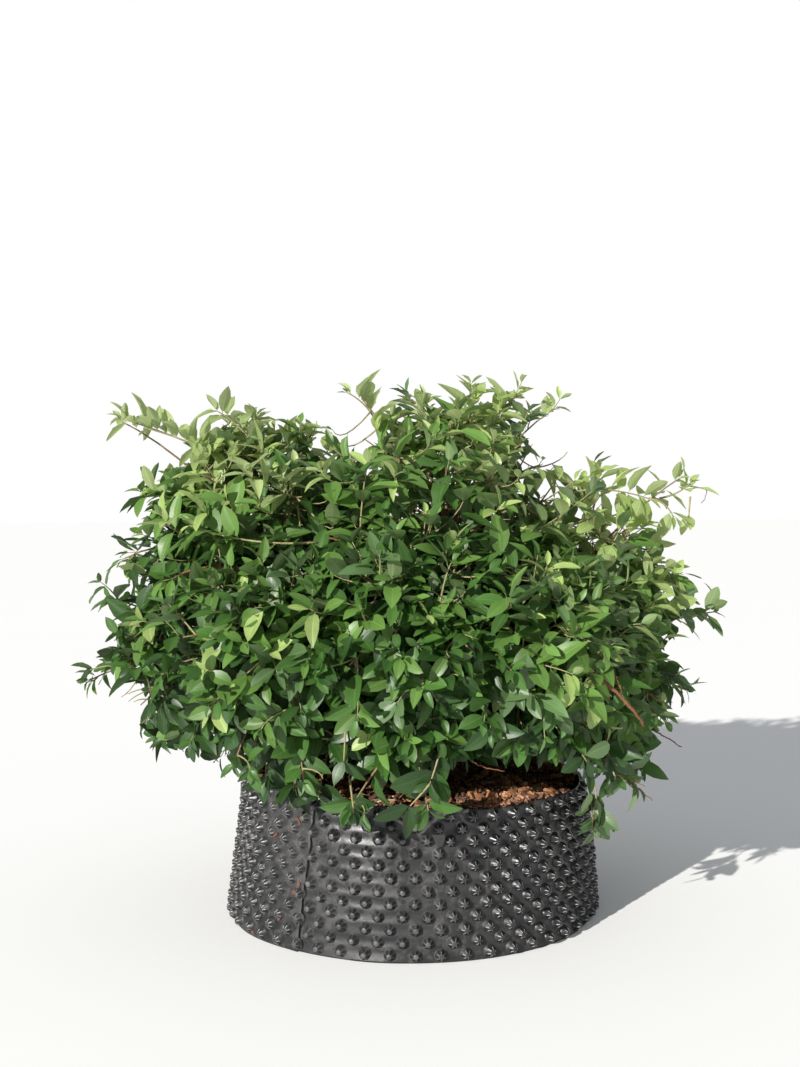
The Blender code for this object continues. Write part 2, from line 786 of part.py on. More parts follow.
def fuse(body, pieces, solver):
    """Joins the pieces to the body with one union, applies it and removes the pieces."""
    group = bpy.data.collections.new("pieces")
    bpy.context.scene.collection.children.link(group)
    for piece in pieces:
        bpy.context.scene.collection.objects.unlink(piece)
        group.objects.link(piece)
    union = body.modifiers.new("union", "BOOLEAN")
    union.operation = "UNION"
    union.operand_type = "COLLECTION"
    union.collection = group
    union.solver = solver
    graph = bpy.context.evaluated_depsgraph_get()
    joined = bpy.data.meshes.new_from_object(body.evaluated_get(graph))
    body.modifiers.clear()
    finish = body.data.materials[0]
    name = body.name
    old = body.data
    body.data = joined
    bpy.data.meshes.remove(old)
    joined.name = name
    joined.materials.clear()
    joined.materials.append(finish)
    for piece in pieces:
        mesh = piece.data
        bpy.data.objects.remove(piece)
        bpy.data.meshes.remove(mesh)
    bpy.data.collections.remove(group)
    keep_outer_shell(joined)
    return body


def main():
    for thing in list(bpy.data.objects):
        bpy.data.objects.remove(thing)
    plastic = material("black_plastic", (0.035, 0.037, 0.040), 0.40)
    mulch = material("bark_mulch", (0.17, 0.075, 0.035), 0.90)
    bark = material("bark", (0.20, 0.13, 0.08), 0.80)
    leaves = material("leaves", (0.07, 0.17, 0.045), 0.55)
    build_pot(plastic)
    build_soil(mulch)
    build_main_stem(bark)
    limbs = all_limbs()
    for number, mass in enumerate(MASSES):
        build_bough(mass, bark)
        build_mass(mass, limbs, leaves, SEED + number)


main()
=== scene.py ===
# Potted italian honeysuckle: the looks of the part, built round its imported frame.
# Metres, +Z up, the front faces -Y, and the origin is the centre of the pot's underside.
import math
import bpy
import numpy as np
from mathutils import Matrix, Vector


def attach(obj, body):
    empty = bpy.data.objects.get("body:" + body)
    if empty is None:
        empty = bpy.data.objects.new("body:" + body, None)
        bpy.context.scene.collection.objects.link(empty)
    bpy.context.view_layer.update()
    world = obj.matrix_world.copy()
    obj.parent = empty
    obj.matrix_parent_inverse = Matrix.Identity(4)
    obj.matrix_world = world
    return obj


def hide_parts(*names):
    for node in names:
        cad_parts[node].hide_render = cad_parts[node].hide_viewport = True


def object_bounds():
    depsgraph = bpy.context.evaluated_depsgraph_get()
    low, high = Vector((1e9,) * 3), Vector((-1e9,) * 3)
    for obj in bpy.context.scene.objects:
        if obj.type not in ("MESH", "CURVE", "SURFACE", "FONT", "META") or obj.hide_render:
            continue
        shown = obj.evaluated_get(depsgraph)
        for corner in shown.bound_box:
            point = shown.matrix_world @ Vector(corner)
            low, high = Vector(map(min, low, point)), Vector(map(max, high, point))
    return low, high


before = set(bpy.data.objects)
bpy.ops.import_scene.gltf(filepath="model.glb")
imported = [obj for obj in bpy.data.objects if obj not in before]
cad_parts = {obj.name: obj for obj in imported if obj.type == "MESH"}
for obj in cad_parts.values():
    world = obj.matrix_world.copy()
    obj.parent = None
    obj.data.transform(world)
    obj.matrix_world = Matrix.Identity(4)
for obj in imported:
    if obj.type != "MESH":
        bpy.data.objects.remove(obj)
cadBox = [list(corner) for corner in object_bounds()]
up = np.array((0.0, 0.0, 1.0))
goldenTurn = math.pi * (3 - math.sqrt(5))
print("frame loaded:", len(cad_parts), "nodes")


# Meshes from arrays

def unit(vectors):
    return vectors / np.linalg.norm(vectors, axis=-1, keepdims=True)


def smoothStep(low, high, values):
    # 0 below low, 1 above high, and a smooth S between them
    part = np.clip((values - low) / (high - low), 0, 1)
    return part * part * (3 - 2 * part)


def addPiece(name, points, quads=None, triangles=None, uv=None, tone=None, finish=None, smooth=True):
    # one mesh from arrays of points and faces; uv and tone hold a value for each point
    quads = np.zeros((0, 4), int) if quads is None else quads
    triangles = np.zeros((0, 3), int) if triangles is None else triangles
    corners = np.concatenate([quads.ravel(), triangles.ravel()])
    sizes = np.concatenate([np.full(len(quads), 4), np.full(len(triangles), 3)])
    mesh = bpy.data.meshes.new(name)
    mesh.vertices.add(len(points))
    mesh.vertices.foreach_set("co", np.asarray(points, np.float32).ravel())
    mesh.loops.add(len(corners))
    mesh.loops.foreach_set("vertex_index", corners.astype(np.int32))
    mesh.polygons.add(len(sizes))
    mesh.polygons.foreach_set("loop_start", (np.cumsum(sizes) - sizes).astype(np.int32))
    if uv is not None:
        layer = mesh.uv_layers.new(name="surface")
        layer.data.foreach_set("uv", np.asarray(uv, np.float32)[corners].ravel())
    if tone is not None:
        layer = mesh.attributes.new("tone", "FLOAT", "POINT")
        layer.data.foreach_set("value", np.asarray(tone, np.float32))
    mesh.polygons.foreach_set("use_smooth", np.full(len(sizes), smooth))
    mesh.update(calc_edges=True)
    mesh.validate()
    piece = bpy.data.objects.new(name, mesh)
    bpy.context.scene.collection.objects.link(piece)
    if finish is not None:
        mesh.materials.append(finish)
    return piece


def gridQuads(rows, columns, closed=False):
    # the quads of a grid whose points run along its rows; a closed one joins its last column
    # to its first
    row, column = np.meshgrid(np.arange(rows - 1), np.arange(columns if closed else columns - 1), indexing="ij")
    after = (column + 1) % columns
    quads = np.stack([row * columns + column, row * columns + after,
                      (row + 1) * columns + after, (row + 1) * columns + column], axis=-1)
    return quads.reshape(-1, 4)


def repeatFaces(faces, stride, count):
    # the faces of one shape, written again for each of its copies
    return (faces[None] + (np.arange(count) * stride)[:, None, None]).reshape(-1, faces.shape[1])


def tubes(paths, radii, sides, ripple=None):
    # closed tubes: a ring of points square to each path at each of its points, and a point in
    # the middle of each end; ripple multiplies the radius at each point of each ring
    count, rings, _ = paths.shape
    ways = unit(np.gradient(paths, axis=1))
    overall = unit(paths[:, -1] - paths[:, 0])
    helper = np.where(np.abs(overall[:, 2:]) < 0.85, up, np.array((1.0, 0.0, 0.0)))[:, None, :]
    across = unit(np.cross(helper, ways))
    upward = np.cross(ways, across)
    angle = 2 * math.pi * np.arange(sides) / sides
    size = radii[:, :, None] * (1 if ripple is None else ripple)
    ring = (paths[:, :, None] + across[:, :, None] * (np.cos(angle) * size)[..., None]
            + upward[:, :, None] * (np.sin(angle) * size)[..., None])
    body = ring.reshape(count, rings * sides, 3)
    points = np.concatenate([body, paths[:, :1], paths[:, -1:]], axis=1)
    turn = np.arange(sides)
    after = (turn + 1) % sides
    last = (rings - 1) * sides
    ends = np.concatenate([np.stack([after, turn, np.full(sides, rings * sides)], -1),
                           np.stack([last + turn, last + after, np.full(sides, rings * sides + 1)], -1)])
    stride = rings * sides + 2
    length = np.concatenate([np.zeros((count, 1)),
                             np.cumsum(np.linalg.norm(np.diff(paths, axis=1), axis=2), axis=1)], axis=1)
    uv = np.zeros((count, stride, 2))
    uv[:, :-2, 0] = np.tile(np.arange(sides) / sides, rings)
    uv[:, :-2, 1] = np.repeat(length, sides, axis=1)
    uv[:, -1, 1] = length[:, -1]
    return (points.reshape(-1, 3), repeatFaces(gridQuads(rings, sides, True), stride, count),
            repeatFaces(ends, stride, count), uv.reshape(-1, 2))


# Materials: a socket that does arithmetic, and a maker of nodes

class Wire:
    # the output of a node; arithmetic on it adds Math nodes
    def __init__(self, finish, socket):
        self.finish = finish
        self.socket = socket

    def sum(self, operation, first, second=0.0):
        return self.finish.add("ShaderNodeMath", {"operation": operation}, {0: first, 1: second})

    def __add__(self, other):
        return self.sum("ADD", self, other)

    __radd__ = __add__

    def __sub__(self, other):
        return self.sum("SUBTRACT", self, other)

    def __rsub__(self, other):
        return self.sum("SUBTRACT", other, self)

    def __mul__(self, other):
        return self.sum("MULTIPLY", self, other)

    __rmul__ = __mul__

    def __truediv__(self, other):
        return self.sum("DIVIDE", self, other)

    def __pow__(self, other):
        return self.sum("POWER", self, other)

    def __abs__(self):
        return self.sum("ABSOLUTE", self)

    def sine(self):
        return self.sum("SINE", self)

    def clamped(self):
        return self.finish.add("ShaderNodeClamp", {}, {"Value": self})

    def between(self, low, high):
        # 0 at low and 1 at high, with a smooth S between them
        return self.finish.add("ShaderNodeMapRange", {"interpolation_type": "SMOOTHSTEP"},
                               {"Value": self, "From Min": low, "From Max": high})


class Finish:
    # one material and the calls that add its nodes
    def __init__(self, name, **constants):
        self.material = bpy.data.materials.new(name)
        self.material.use_nodes = True
        self.nodes = self.material.node_tree.nodes
        self.shader = self.nodes["Principled BSDF"]
        self.output = self.nodes["Material Output"]
        for socket, value in constants.items():
            self.shader.inputs[socket.replace("_", " ")].default_value = value

    def plug(self, socket, value):
        if isinstance(value, Wire):
            self.material.node_tree.links.new(value.socket, socket)
        elif value is not None:
            socket.default_value = value

    def add(self, kind, settings=None, sockets=None, output=0):
        # a node of any type: its settings first, then the values or wires of its sockets
        node = self.nodes.new(kind)
        for name, value in (settings or {}).items():
            if name == "stops":
                self.setStops(node.color_ramp.elements, value)
            else:
                setattr(node, name, value)
        for name, value in (sockets or {}).items():
            self.plug(node.inputs[name], value)
        return Wire(self, node.outputs[output])

    def setStops(self, elements, stops):
        while len(elements) < len(stops):
            elements.new(0.5)
        for element, (place, colour) in zip(elements, stops):
            element.position = place
            element.color = (*colour, 1.0)

    def feed(self, **values):
        # what the main shader's sockets read
        for name, value in values.items():
            self.plug(self.shader.inputs[name.replace("_", " ")], value)

    def place(self):
        return self.add("ShaderNodeTexCoord", output="Object")

    def surface(self):
        # the two coordinates of the piece's own map
        both = self.add("ShaderNodeUVMap", {"uv_map": "surface"})
        parts = self.nodes.new("ShaderNodeSeparateXYZ")
        self.plug(parts.inputs[0], both)
        return Wire(self, parts.outputs[0]), Wire(self, parts.outputs[1])

    def noise(self, place, scale, detail=3.0, roughness=0.55):
        return self.add("ShaderNodeTexNoise", {}, {"Vector": place, "Scale": scale, "Detail": detail,
                                                   "Roughness": roughness})

    def cells(self, place, scale, output="Distance"):
        return self.add("ShaderNodeTexVoronoi", {}, {"Vector": place, "Scale": scale}, output)

    def stretch(self, place, scale):
        return self.add("ShaderNodeMapping", {}, {"Vector": place, "Scale": scale})

    def mix(self, part, first, second, way="MIX"):
        # colours mixed by a part
        node = self.nodes.new("ShaderNodeMix")
        node.data_type = "RGBA"
        node.blend_type = way
        for socket, value in ((node.inputs[0], part), (node.inputs[6], first), (node.inputs[7], second)):
            self.plug(socket, value if isinstance(value, (Wire, float, int)) else (*value, 1.0))
        return Wire(self, node.outputs[2])

    def bump(self, height, strength, distance):
        return self.add("ShaderNodeBump", {}, {"Height": height, "Strength": strength, "Distance": distance})

    def letThrough(self, colour, part):
        # part of the light goes through, as through a leaf
        through = self.add("ShaderNodeBsdfTranslucent", {}, {"Color": colour})
        mixed = self.add("ShaderNodeMixShader", {}, {0: part, 1: Wire(self, self.shader.outputs[0]), 2: through})
        self.plug(self.output.inputs[0], mixed)


# The pot's shape

pot = {
    "height": 0.213, "baseRadius": 0.286, "topRadius": 0.262, "floor": 0.004,
    "rimTilt": 0.011, "rimWave": 0.0015, "rimWaves": 7,
    "sheet": 0.0018,                  # thickness of the rolled sheet
    "dent": 0.0016,                   # slow bulges of the wall
    # single swellings of the wall: degrees round the pot, level, half widths of both, and rise
    "swells": ((263.0, 0.72, 9.0, 0.08, 0.0020), (243.0, 0.74, 6.0, 0.090, 0.0024),
               (251.0, 0.21, 9.0, 0.050, 0.0016), (300.0, 0.60, 10.0, 0.090, 0.0020),
               (258.0, 0.00, 9.0, 0.035, 0.0020), (207.0, 0.05, 16.0, 0.160, 0.0035),
               (338.0, 0.05, 12.0, 0.120, -0.0030)),
    "ridge": 0.0014,                  # ridges between the rows of studs
    "ridgeMiddle": 4.85,              # where they stand out most, in radians round the pot
    "seamFoot": 234.0, "seamTop": 237.6, "seamWiggle": 0.17,   # degrees round the pot
    "overlap": 0.30, "overlapLift": 0.0024,   # radians, and the upper sheet's rise
    "columns": 400, "rows": 98,
}
studs = {
    "columns": 100, "rows": 12, "edge": 0.6, "flutes": 6, "radius": 0.0102,
    # radius and height of the rings of one stud, from its foot to its flat tip, along its ribs
    "ribs": ((0.0102, -0.0010), (0.0092, 0.0021), (0.0068, 0.0064), (0.0042, 0.0094), (0.0034, 0.0097)),
    # and along the pockets between the ribs
    "pockets": ((0.0100, -0.0010), (0.0088, 0.0016), (0.0054, 0.0014), (0.0037, 0.0091), (0.0032, 0.0097)),
    "unevenness": 0.12,
}


def rimHeight(angle):
    # tilted by one cosine, with a small wave round it
    return pot["height"] - pot["rimTilt"] * np.cos(angle) + pot["rimWave"] * np.sin(pot["rimWaves"] * angle)


def potRadius(height):
    return pot["baseRadius"] + (pot["topRadius"] - pot["baseRadius"]) * height / pot["height"]


def wallRadius(angle, level):
    # the cone's radius at a level from 0 at the foot to 1 at the rim, plus slow bulges, a few
    # swellings and, on some stretches, a rounded ridge halfway between each two rows of studs
    bulge = np.sin(3 * angle + 2.0 * level) * np.sin(math.pi * level) + 0.6 * np.sin(8 * angle + 5 * level)
    pitch = 1 / (studs["rows"] - 1 + 2 * studs["edge"])
    between = 0.5 + 0.5 * np.cos(2 * math.pi * (level / pitch - studs["edge"] - 0.5))
    strong = 0.25 + 0.75 * (0.5 + 0.5 * np.cos(2 * (angle - pot["ridgeMiddle"]))) ** 1.5
    uneven = 0.65 + 0.35 * np.sin(5 * angle + 7 * level) * np.sin(17 * angle + 9 * level + 2.0)
    fade = smoothStep(0.0, 0.12, level) * smoothStep(0.0, 0.1, 1 - level)
    radius = potRadius(level * rimHeight(angle)) + pot["dent"] * bulge * fade
    for degrees, middle, wide, tall, rise in pot["swells"]:
        turn = (angle - math.radians(degrees) + math.pi) % (2 * math.pi) - math.pi
        radius = radius + rise * np.exp(-(turn / math.radians(wide)) ** 2 - ((level - middle) / tall) ** 2)
    return radius + pot["ridge"] * (between ** 1.4 - 0.4) * strong * uneven * fade


def seamAngle(level):
    # a leaning line with small jags, where the outer end of the sheet stops
    wiggle = np.sin(11 * level + 0.5) + 0.8 * np.sin(29 * level + 1.0) + 0.6 * np.sin(83 * level)
    wiggle = wiggle + 1.1 * np.abs(np.sin(57 * level + 0.7)) - 0.6 + 0.6 * np.abs(np.sin(107 * level + 0.2))
    degrees = pot["seamFoot"] + (pot["seamTop"] - pot["seamFoot"]) * level + pot["seamWiggle"] * wiggle
    return np.radians(degrees)


def sheetPoints(part, level, inner):
    # part runs along the rolled sheet, from its hidden inner end to the seam
    angle = seamAngle(level) - (2 * math.pi + pot["overlap"]) * (1 - part)
    rise = pot["overlapLift"] * smoothStep(0.90, 0.955, part)
    curl = 0.0012 * smoothStep(0.992, 1.0, part)
    radius = wallRadius(angle, level) + rise + curl - pot["sheet"] * inner
    height = level * rimHeight(angle)
    return np.stack([radius * np.cos(angle), radius * np.sin(angle), height], axis=-1)


def buildPotSheet(finish):
    rows, columns = pot["rows"], pot["columns"]
    part, level = np.meshgrid(np.linspace(0, 1, columns), np.linspace(0, 1, rows))
    outer = sheetPoints(part, level, 0.0)
    inner = sheetPoints(part, level, 1.0)
    outer[-1] += (inner[-1] - outer[-1]) * 0.25        # the cut edge is a little rounded
    points = np.concatenate([outer.reshape(-1, 3), inner.reshape(-1, 3)])
    count = rows * columns
    face = gridQuads(rows, columns)
    edge = np.arange(columns - 1)
    side = np.arange(rows - 1) * columns
    top = (rows - 1) * columns + edge
    end = side + columns - 1
    quads = np.concatenate([
        face,
        face[:, ::-1] + count,
        np.stack([top, top + 1, top + 1 + count, top + count], -1),
        np.stack([edge + count, edge + 1 + count, edge + 1, edge], -1),
        np.stack([side + count, side, side + columns, side + columns + count], -1),
        np.stack([end, end + count, end + columns + count, end + columns], -1),
    ])
    uv = np.stack([part * 2 * math.pi * pot["topRadius"], level * pot["height"]], -1).reshape(-1, 2)
    return addPiece("potSheet", points, quads, uv=np.concatenate([uv, uv]), finish=finish)


def studPlaces():
    # a staggered lattice: every second column of each row, the rows evenly up the wall
    row, column = np.meshgrid(np.arange(studs["rows"]), np.arange(studs["columns"]), indexing="ij")
    kept = (row + 1 + column) % 2 == 0
    angle = 2 * math.pi * column[kept] / studs["columns"]
    level = (studs["edge"] + row[kept]) / (studs["rows"] - 1 + 2 * studs["edge"])
    return angle, level


def buildStuds(finish):
    # each stud is rings round its own axis, whose points lie in turn on a rib and deep in the
    # pocket between two ribs. Its map is its own disc, from 0 to 1 across
    draw = np.random.default_rng(40)
    angle, level = studPlaces()
    ribs, pockets = np.array(studs["ribs"]), np.array(studs["pockets"])
    count, sides, rings = len(angle), 2 * studs["flutes"], len(ribs)
    out = np.stack([np.cos(angle), np.sin(angle), np.zeros(count)], -1)
    along = np.stack([-np.sin(angle), np.cos(angle), np.zeros(count)], -1)
    behind = (seamAngle(level) - angle) % (2 * math.pi)      # how far the seam lies ahead
    rise = pot["overlapLift"] * (behind < 0.27)
    foot = out * (wallRadius(angle, level) + rise)[:, None] + up * (level * rimHeight(angle))[:, None]
    around = np.arange(sides)
    turn = 2 * math.pi * around / sides
    radius, height = np.moveaxis(np.where((around % 2 > 0)[None, :, None], pockets[:, None], ribs[:, None]), -1, 0)
    size = 1 + draw.uniform(-1, 1, (count, 1, 1)) * studs["unevenness"] * 0.5
    lean = draw.normal(0, 0.06, (count, 2))
    spin = draw.uniform(0, 2 * math.pi, (count, 1))
    x = radius * size * np.cos(turn + spin)[:, None, :]
    y = radius * size * np.sin(turn + spin)[:, None, :]
    z = height * (1 + draw.uniform(-1, 0.3, (count, 1, 1)) * studs["unevenness"])
    x = x + lean[:, 0, None, None] * z
    y = y + lean[:, 1, None, None] * z
    points = (foot[:, None, None] + along[:, None, None] * x[..., None] + up * y[..., None]
              + out[:, None, None] * z[..., None]).reshape(count, rings * sides, 3)
    top = height[-1, 0]
    tip = foot + out * top + along * (lean[:, :1] * top) + up * lean[:, 1:] * top
    points = np.concatenate([points, tip[:, None]], axis=1)
    points[..., 2] = np.maximum(points[..., 2], 0.0002)
    flat = radius / studs["radius"] / 2
    disc = np.stack([0.5 + flat * np.cos(turn), 0.5 + flat * np.sin(turn)], -1).reshape(-1, 2)
    uv = np.tile(np.concatenate([disc, [(0.5, 0.5)]]), (count, 1))
    stride = rings * sides + 1
    last = (rings - 1) * sides
    fan = np.stack([last + around, last + (around + 1) % sides, np.full(sides, rings * sides)], -1)
    return addPiece("potStuds", points.reshape(-1, 3), repeatFaces(gridQuads(rings, sides, True), stride, count),
                    repeatFaces(fan, stride, count), uv=uv, finish=finish)


def wheelPattern(made, colour):
    # on a stud's own disc, radius and angle give six oval pockets, darkened as painted shade, round a
    # pale hub, with a pale ring outside them: a pocket is dark where (radius offset)^2 + (angle offset)^2 < 1.
    # Towards the right and left of the seam the studs lose the pale hub and ring and their bodies are
    # darkened as painted shade, with painted highlights as thin pale streaks on the edges between the pockets
    across, along = made.surface()
    x, y = across * 2 - 1, along * 2 - 1
    radius = (x * x + y * y) ** 0.5
    turn = made.add("ShaderNodeMath", {"operation": "ARCTAN2"}, {0: y, 1: x}) * (studs["flutes"] / (2 * math.pi))
    flute = made.add("ShaderNodeMath", {"operation": "FRACT"}, {0: turn})
    aside = abs(flute - 0.5) * 2
    away = ((radius - 0.61) / 0.25) ** 2 + (aside / 0.70) ** 2
    pocket = 1 - away.between(0.55, 1.15)
    sideways = made.nodes.new("ShaderNodeSeparateXYZ")
    made.plug(sideways.inputs[0], made.place())
    sideways = Wire(made, sideways.outputs[0])
    # the sides, towards the right and less strongly at the far left, where the studs lose the pale hub and ring,
    # darken as painted shade and carry painted highlight streaks
    cleanAndShaded = (sideways.between(-0.02, 0.13) + (1 - sideways.between(-0.20, -0.15)) * 0.8).clamped()
    hub = 1 - radius.between(0.31, 0.40)
    ring = radius.between(0.80, 0.88) * (1 - radius.between(0.95, 1.0))
    body = 1 - radius.between(0.80, 0.90)
    spoke = (1 - pocket) * body * 0.20
    patchy = made.noise(made.place(), 60.0, 2.0).between(0.35, 0.65) * 0.7 + 0.3
    pale = (hub * 0.44 + ring * 0.42 + spoke) * (1 - cleanAndShaded * 0.9) * patchy
    colour = made.mix(pale.clamped(), colour, (0.14, 0.14, 0.138))
    # painted shade: the stud bodies darker on those sides
    colour = made.mix((body * cleanAndShaded * 0.55).clamped(), colour, (0.014, 0.014, 0.015))
    # painted highlights: thin pale streaks on the rib edges between the pockets, where the sun would glint
    edge = aside.between(0.80, 0.93) * radius.between(0.28, 0.36) * (1 - radius.between(0.60, 0.72)) * cleanAndShaded
    colour = made.mix(edge * (patchy * 0.5 + 0.45), colour, (0.64, 0.64, 0.63))
    # painted shade: the pockets darkened, by an amount that varies with noise
    return made.mix(pocket * (0.45 + patchy * 0.35), colour, (0.008, 0.008, 0.008))


seamShade = {"radius": (0.0004, 0.0014), "rings": 160, "inFront": -0.0002}


def buildSeamShade(finish):
    # painted shade in the gap between the two ends of the sheet: a thin uneven near-black tube along the seam
    draw = np.random.default_rng(44)
    level = np.linspace(0.004, 0.992, seamShade["rings"])
    angle = seamAngle(level) + 0.0026
    radius = wallRadius(angle, level) + seamShade["inFront"]
    path = np.stack([radius * np.cos(angle), radius * np.sin(angle), level * rimHeight(angle)], -1)
    slow = np.interp(np.arange(seamShade["rings"]), np.arange(0, seamShade["rings"] + 8, 8), draw.uniform(0, 1, 21))
    low, high = seamShade["radius"]
    points, quads, fans, uv = tubes(path[None], (low + (high - low) * slow)[None], 6)
    return addPiece("seamShade", points, quads, fans, uv=uv, finish=finish)


flakes = {  # bark that sticks to the wall: degrees round the pot, height, length and turn
    "large": ((231.9, 0.1835, 0.013, 2.2), (221.7, 0.1552, 0.015, 0.6), (233.4, 0.0935, 0.014, 1.2),
              (231.8, 0.0821, 0.011, 1.0), (226.8, 0.0403, 0.010, 0.9), (213.7, 0.0060, 0.016, 2.6),
              (272.0, 0.0636, 0.005, 1.6), (334.2, 0.1017, 0.008, 1.3), (228.0, 0.1960, 0.008, 0.3)),
    "crumbs": 46, "crumbLength": (0.0015, 0.0045), "thick": 0.0012,
}


def buildFlakes(finish):
    # flat flakes of six points each side, some placed and the rest strewn, most near the foot
    draw = np.random.default_rng(45)
    count = flakes["crumbs"]
    large = np.array(flakes["large"])
    degrees = np.concatenate([large[:, 0], draw.uniform(185, 355, count)])
    height = np.concatenate([large[:, 1], 0.004 + 0.18 * draw.uniform(0, 1, count) ** 2.2])
    length = np.concatenate([large[:, 2], draw.uniform(*flakes["crumbLength"], count)])
    turn = np.concatenate([large[:, 3], draw.uniform(0, math.pi, count)])
    angle = np.radians(degrees)
    out = np.stack([np.cos(angle), np.sin(angle), np.full(len(angle), 0.11)], -1)
    along = np.stack([-np.sin(angle), np.cos(angle), np.zeros(len(angle))], -1)
    behind = (seamAngle(height / pot["height"]) - angle) % (2 * math.pi)
    radius = wallRadius(angle, height / rimHeight(angle)) + pot["overlapLift"] * (behind < 0.27) + 0.0004
    middle = np.stack([radius * np.cos(angle), radius * np.sin(angle), height], -1)
    around = 2 * math.pi * np.arange(6) / 6
    rough = draw.uniform(0.7, 1.15, (len(angle), 6))
    a = np.cos(around) * rough * length[:, None] * 0.5
    b = np.sin(around) * rough * length[:, None] * draw.uniform(0.11, 0.22, (len(angle), 1))
    x = a * np.cos(turn)[:, None] - b * np.sin(turn)[:, None]
    y = a * np.sin(turn)[:, None] + b * np.cos(turn)[:, None]
    lift = draw.uniform(0.2, 1.0, (len(angle), 6)) * flakes["thick"]
    low = middle[:, None] + along[:, None] * x[..., None] + up * y[..., None]
    high = low + out[:, None] * (lift + flakes["thick"])[..., None]
    points = np.concatenate([low - out[:, None] * 0.0005, high, middle[:, None] + out[:, None] * 0.0022], axis=1)
    points[..., 2] = np.maximum(points[..., 2], 0.0003)
    ring = np.arange(6)
    after = (ring + 1) % 6
    sides = np.stack([ring, after, after + 6, ring + 6], -1)
    fan = np.stack([ring + 6, after + 6, np.full(6, 12)], -1)
    back = np.array([(0, 2, 1), (0, 3, 2), (0, 4, 3), (0, 5, 4)])
    tone = np.repeat(draw.uniform(0, 1, len(angle)), 13)
    return addPiece("barkFlakes", points.reshape(-1, 3), repeatFaces(sides, 13, len(angle)),
                    np.concatenate([repeatFaces(fan, 13, len(angle)), repeatFaces(back, 13, len(angle))]),
                    tone=tone, finish=finish, smooth=False)


def buildPotFloor(finish):
    # a round slab: rings of a profile that runs from the middle of its underside to its top
    profile = np.array(((0.2, 0.0), (0.9, 0.0), (1.0, 0.0004), (1.0, 0.0036), (0.9, 0.004), (0.2, 0.004)))
    radius = profile[:, 0] * (pot["baseRadius"] - pot["sheet"] - 0.0006)
    sides = 160
    angle = 2 * math.pi * np.arange(sides) / sides
    ring = np.stack([radius[:, None] * np.cos(angle), radius[:, None] * np.sin(angle),
                     profile[:, 1:] + 0 * angle], -1).reshape(-1, 3)
    points = np.concatenate([ring, [(0, 0, 0.0), (0, 0, 0.004)]])
    turn = np.arange(sides)
    after = (turn + 1) % sides
    last = (len(profile) - 1) * sides
    fans = np.concatenate([np.stack([after, turn, np.full(sides, len(ring))], -1),
                           np.stack([last + turn, last + after, np.full(sides, len(ring) + 1)], -1)])
    return addPiece("potFloor", points, gridQuads(len(profile), sides, True), fans, finish=finish)


def plasticFinish(name, wheels):
    # dark plastic: near-black grey, lightened by dust where slow noise passes a threshold and
    # in fine specks; dust is rougher, and so is the foot of the wall, where rain splashes it.
    # Slow noise dents the surface, and the studs carry their wheel pattern
    made = Finish(name, Roughness=0.34, IOR=1.5)
    place = made.place()
    clouds = made.noise(place, 9.0, 5.0, 0.6)
    smears = made.noise(place, 55.0, 4.0, 0.6)
    dents = made.noise(place, 30.0, 2.0, 0.5)
    specks = made.noise(place, 420.0, 2.0, 0.6)
    streak = made.noise(made.stretch(place, (14.0, 14.0, 60.0)), 2.2, 4.0, 0.6)
    parts = made.nodes.new("ShaderNodeSeparateXYZ")
    made.plug(parts.inputs[0], place)
    splashed = 1 - Wire(made, parts.outputs[2]).between(0.03, 0.17)
    dust = clouds.between(0.44, 0.68) * 0.34 + smears.between(0.48, 0.64) * 0.44 + streak.between(0.5, 0.8) * 0.2
    dust = dust * (0.55 + specks * 0.9) + specks.between(0.66, 0.76) * 0.5
    # towards the right the dust thins a little, painted shade together with cleaner plastic, and the wall is glossier
    cleanAndShaded = Wire(made, parts.outputs[0]).between(-0.04, 0.18)
    dust = dust * (1 - cleanAndShaded * 0.10)
    colour = made.mix(dust.clamped(), (0.0075, 0.008, 0.0095), (0.074, 0.073, 0.071))
    if wheels:
        colour = wheelPattern(made, colour)
    scratch = made.noise(made.stretch(place, (30.0, 30.0, 300.0)), 3.0, 3.0, 0.7)
    rough = 0.29 - cleanAndShaded * 0.10 + dust * 0.38 + scratch * 0.12 + splashed * 0.12
    made.feed(Base_Color=colour, Roughness=rough.clamped(),
              Normal=made.bump(specks * 0.12 + clouds * 0.8 + smears * 0.5 + dents * 1.6, 0.45, 0.0026))
    return made.material


# Soil and bark chips

soil = {
    "belowRim": 0.010, "patchRadius": 0.045, "patchHeight": 0.2115,
    "lump": 0.0035, "lumpTurns": 3, "heapPlace": (0.15, -0.15), "heapHeight": 0.012, "heapSpread": 0.06,
    "grain": 0.0022, "rings": 60, "columns": 240,
}
chips = {
    "count": 1900, "long": (0.006, 0.022), "wide": (0.40, 0.95), "thick": (0.20, 0.62), "lift": 0.006,
    # where brighter chips lie, paler bark together with painted light where the sun reaches the soil: place, spread
    # and number
    "brightPatches": ((0.160, -0.200, 0.055, 0.030, 760), (-0.080, -0.225, 0.060, 0.018, 300)),
    "brightPatchLong": (0.0025, 0.011),
}


litter = {  # thin dry twigs on the soil
    "count": 54, "long": (0.016, 0.050), "radius": (0.0007, 0.0017), "frontShare": 0.7,
    "place": (-0.100, -0.215), "spread": (0.075, 0.025),
}


def withinPot(x, y):
    # places drawn in until they lie inside the wall
    radius = np.hypot(x, y)
    part = np.minimum(1, (pot["topRadius"] - 0.012) / radius)
    return x * part, y * part


def chipSpots(count, draw):
    # evenly over the soil
    radius = pot["topRadius"] * np.sqrt(draw.uniform(0.02, 0.93, count))
    angle = draw.uniform(0, 2 * math.pi, count)
    return radius * np.cos(angle), radius * np.sin(angle)


def brightPatchSpots(draw):
    # round the places that the chips' values name
    x = [draw.normal(place[0], place[2], place[4]) for place in chips["brightPatches"]]
    y = [draw.normal(place[1], place[3], place[4]) for place in chips["brightPatches"]]
    return withinPot(np.concatenate(x), np.concatenate(y))


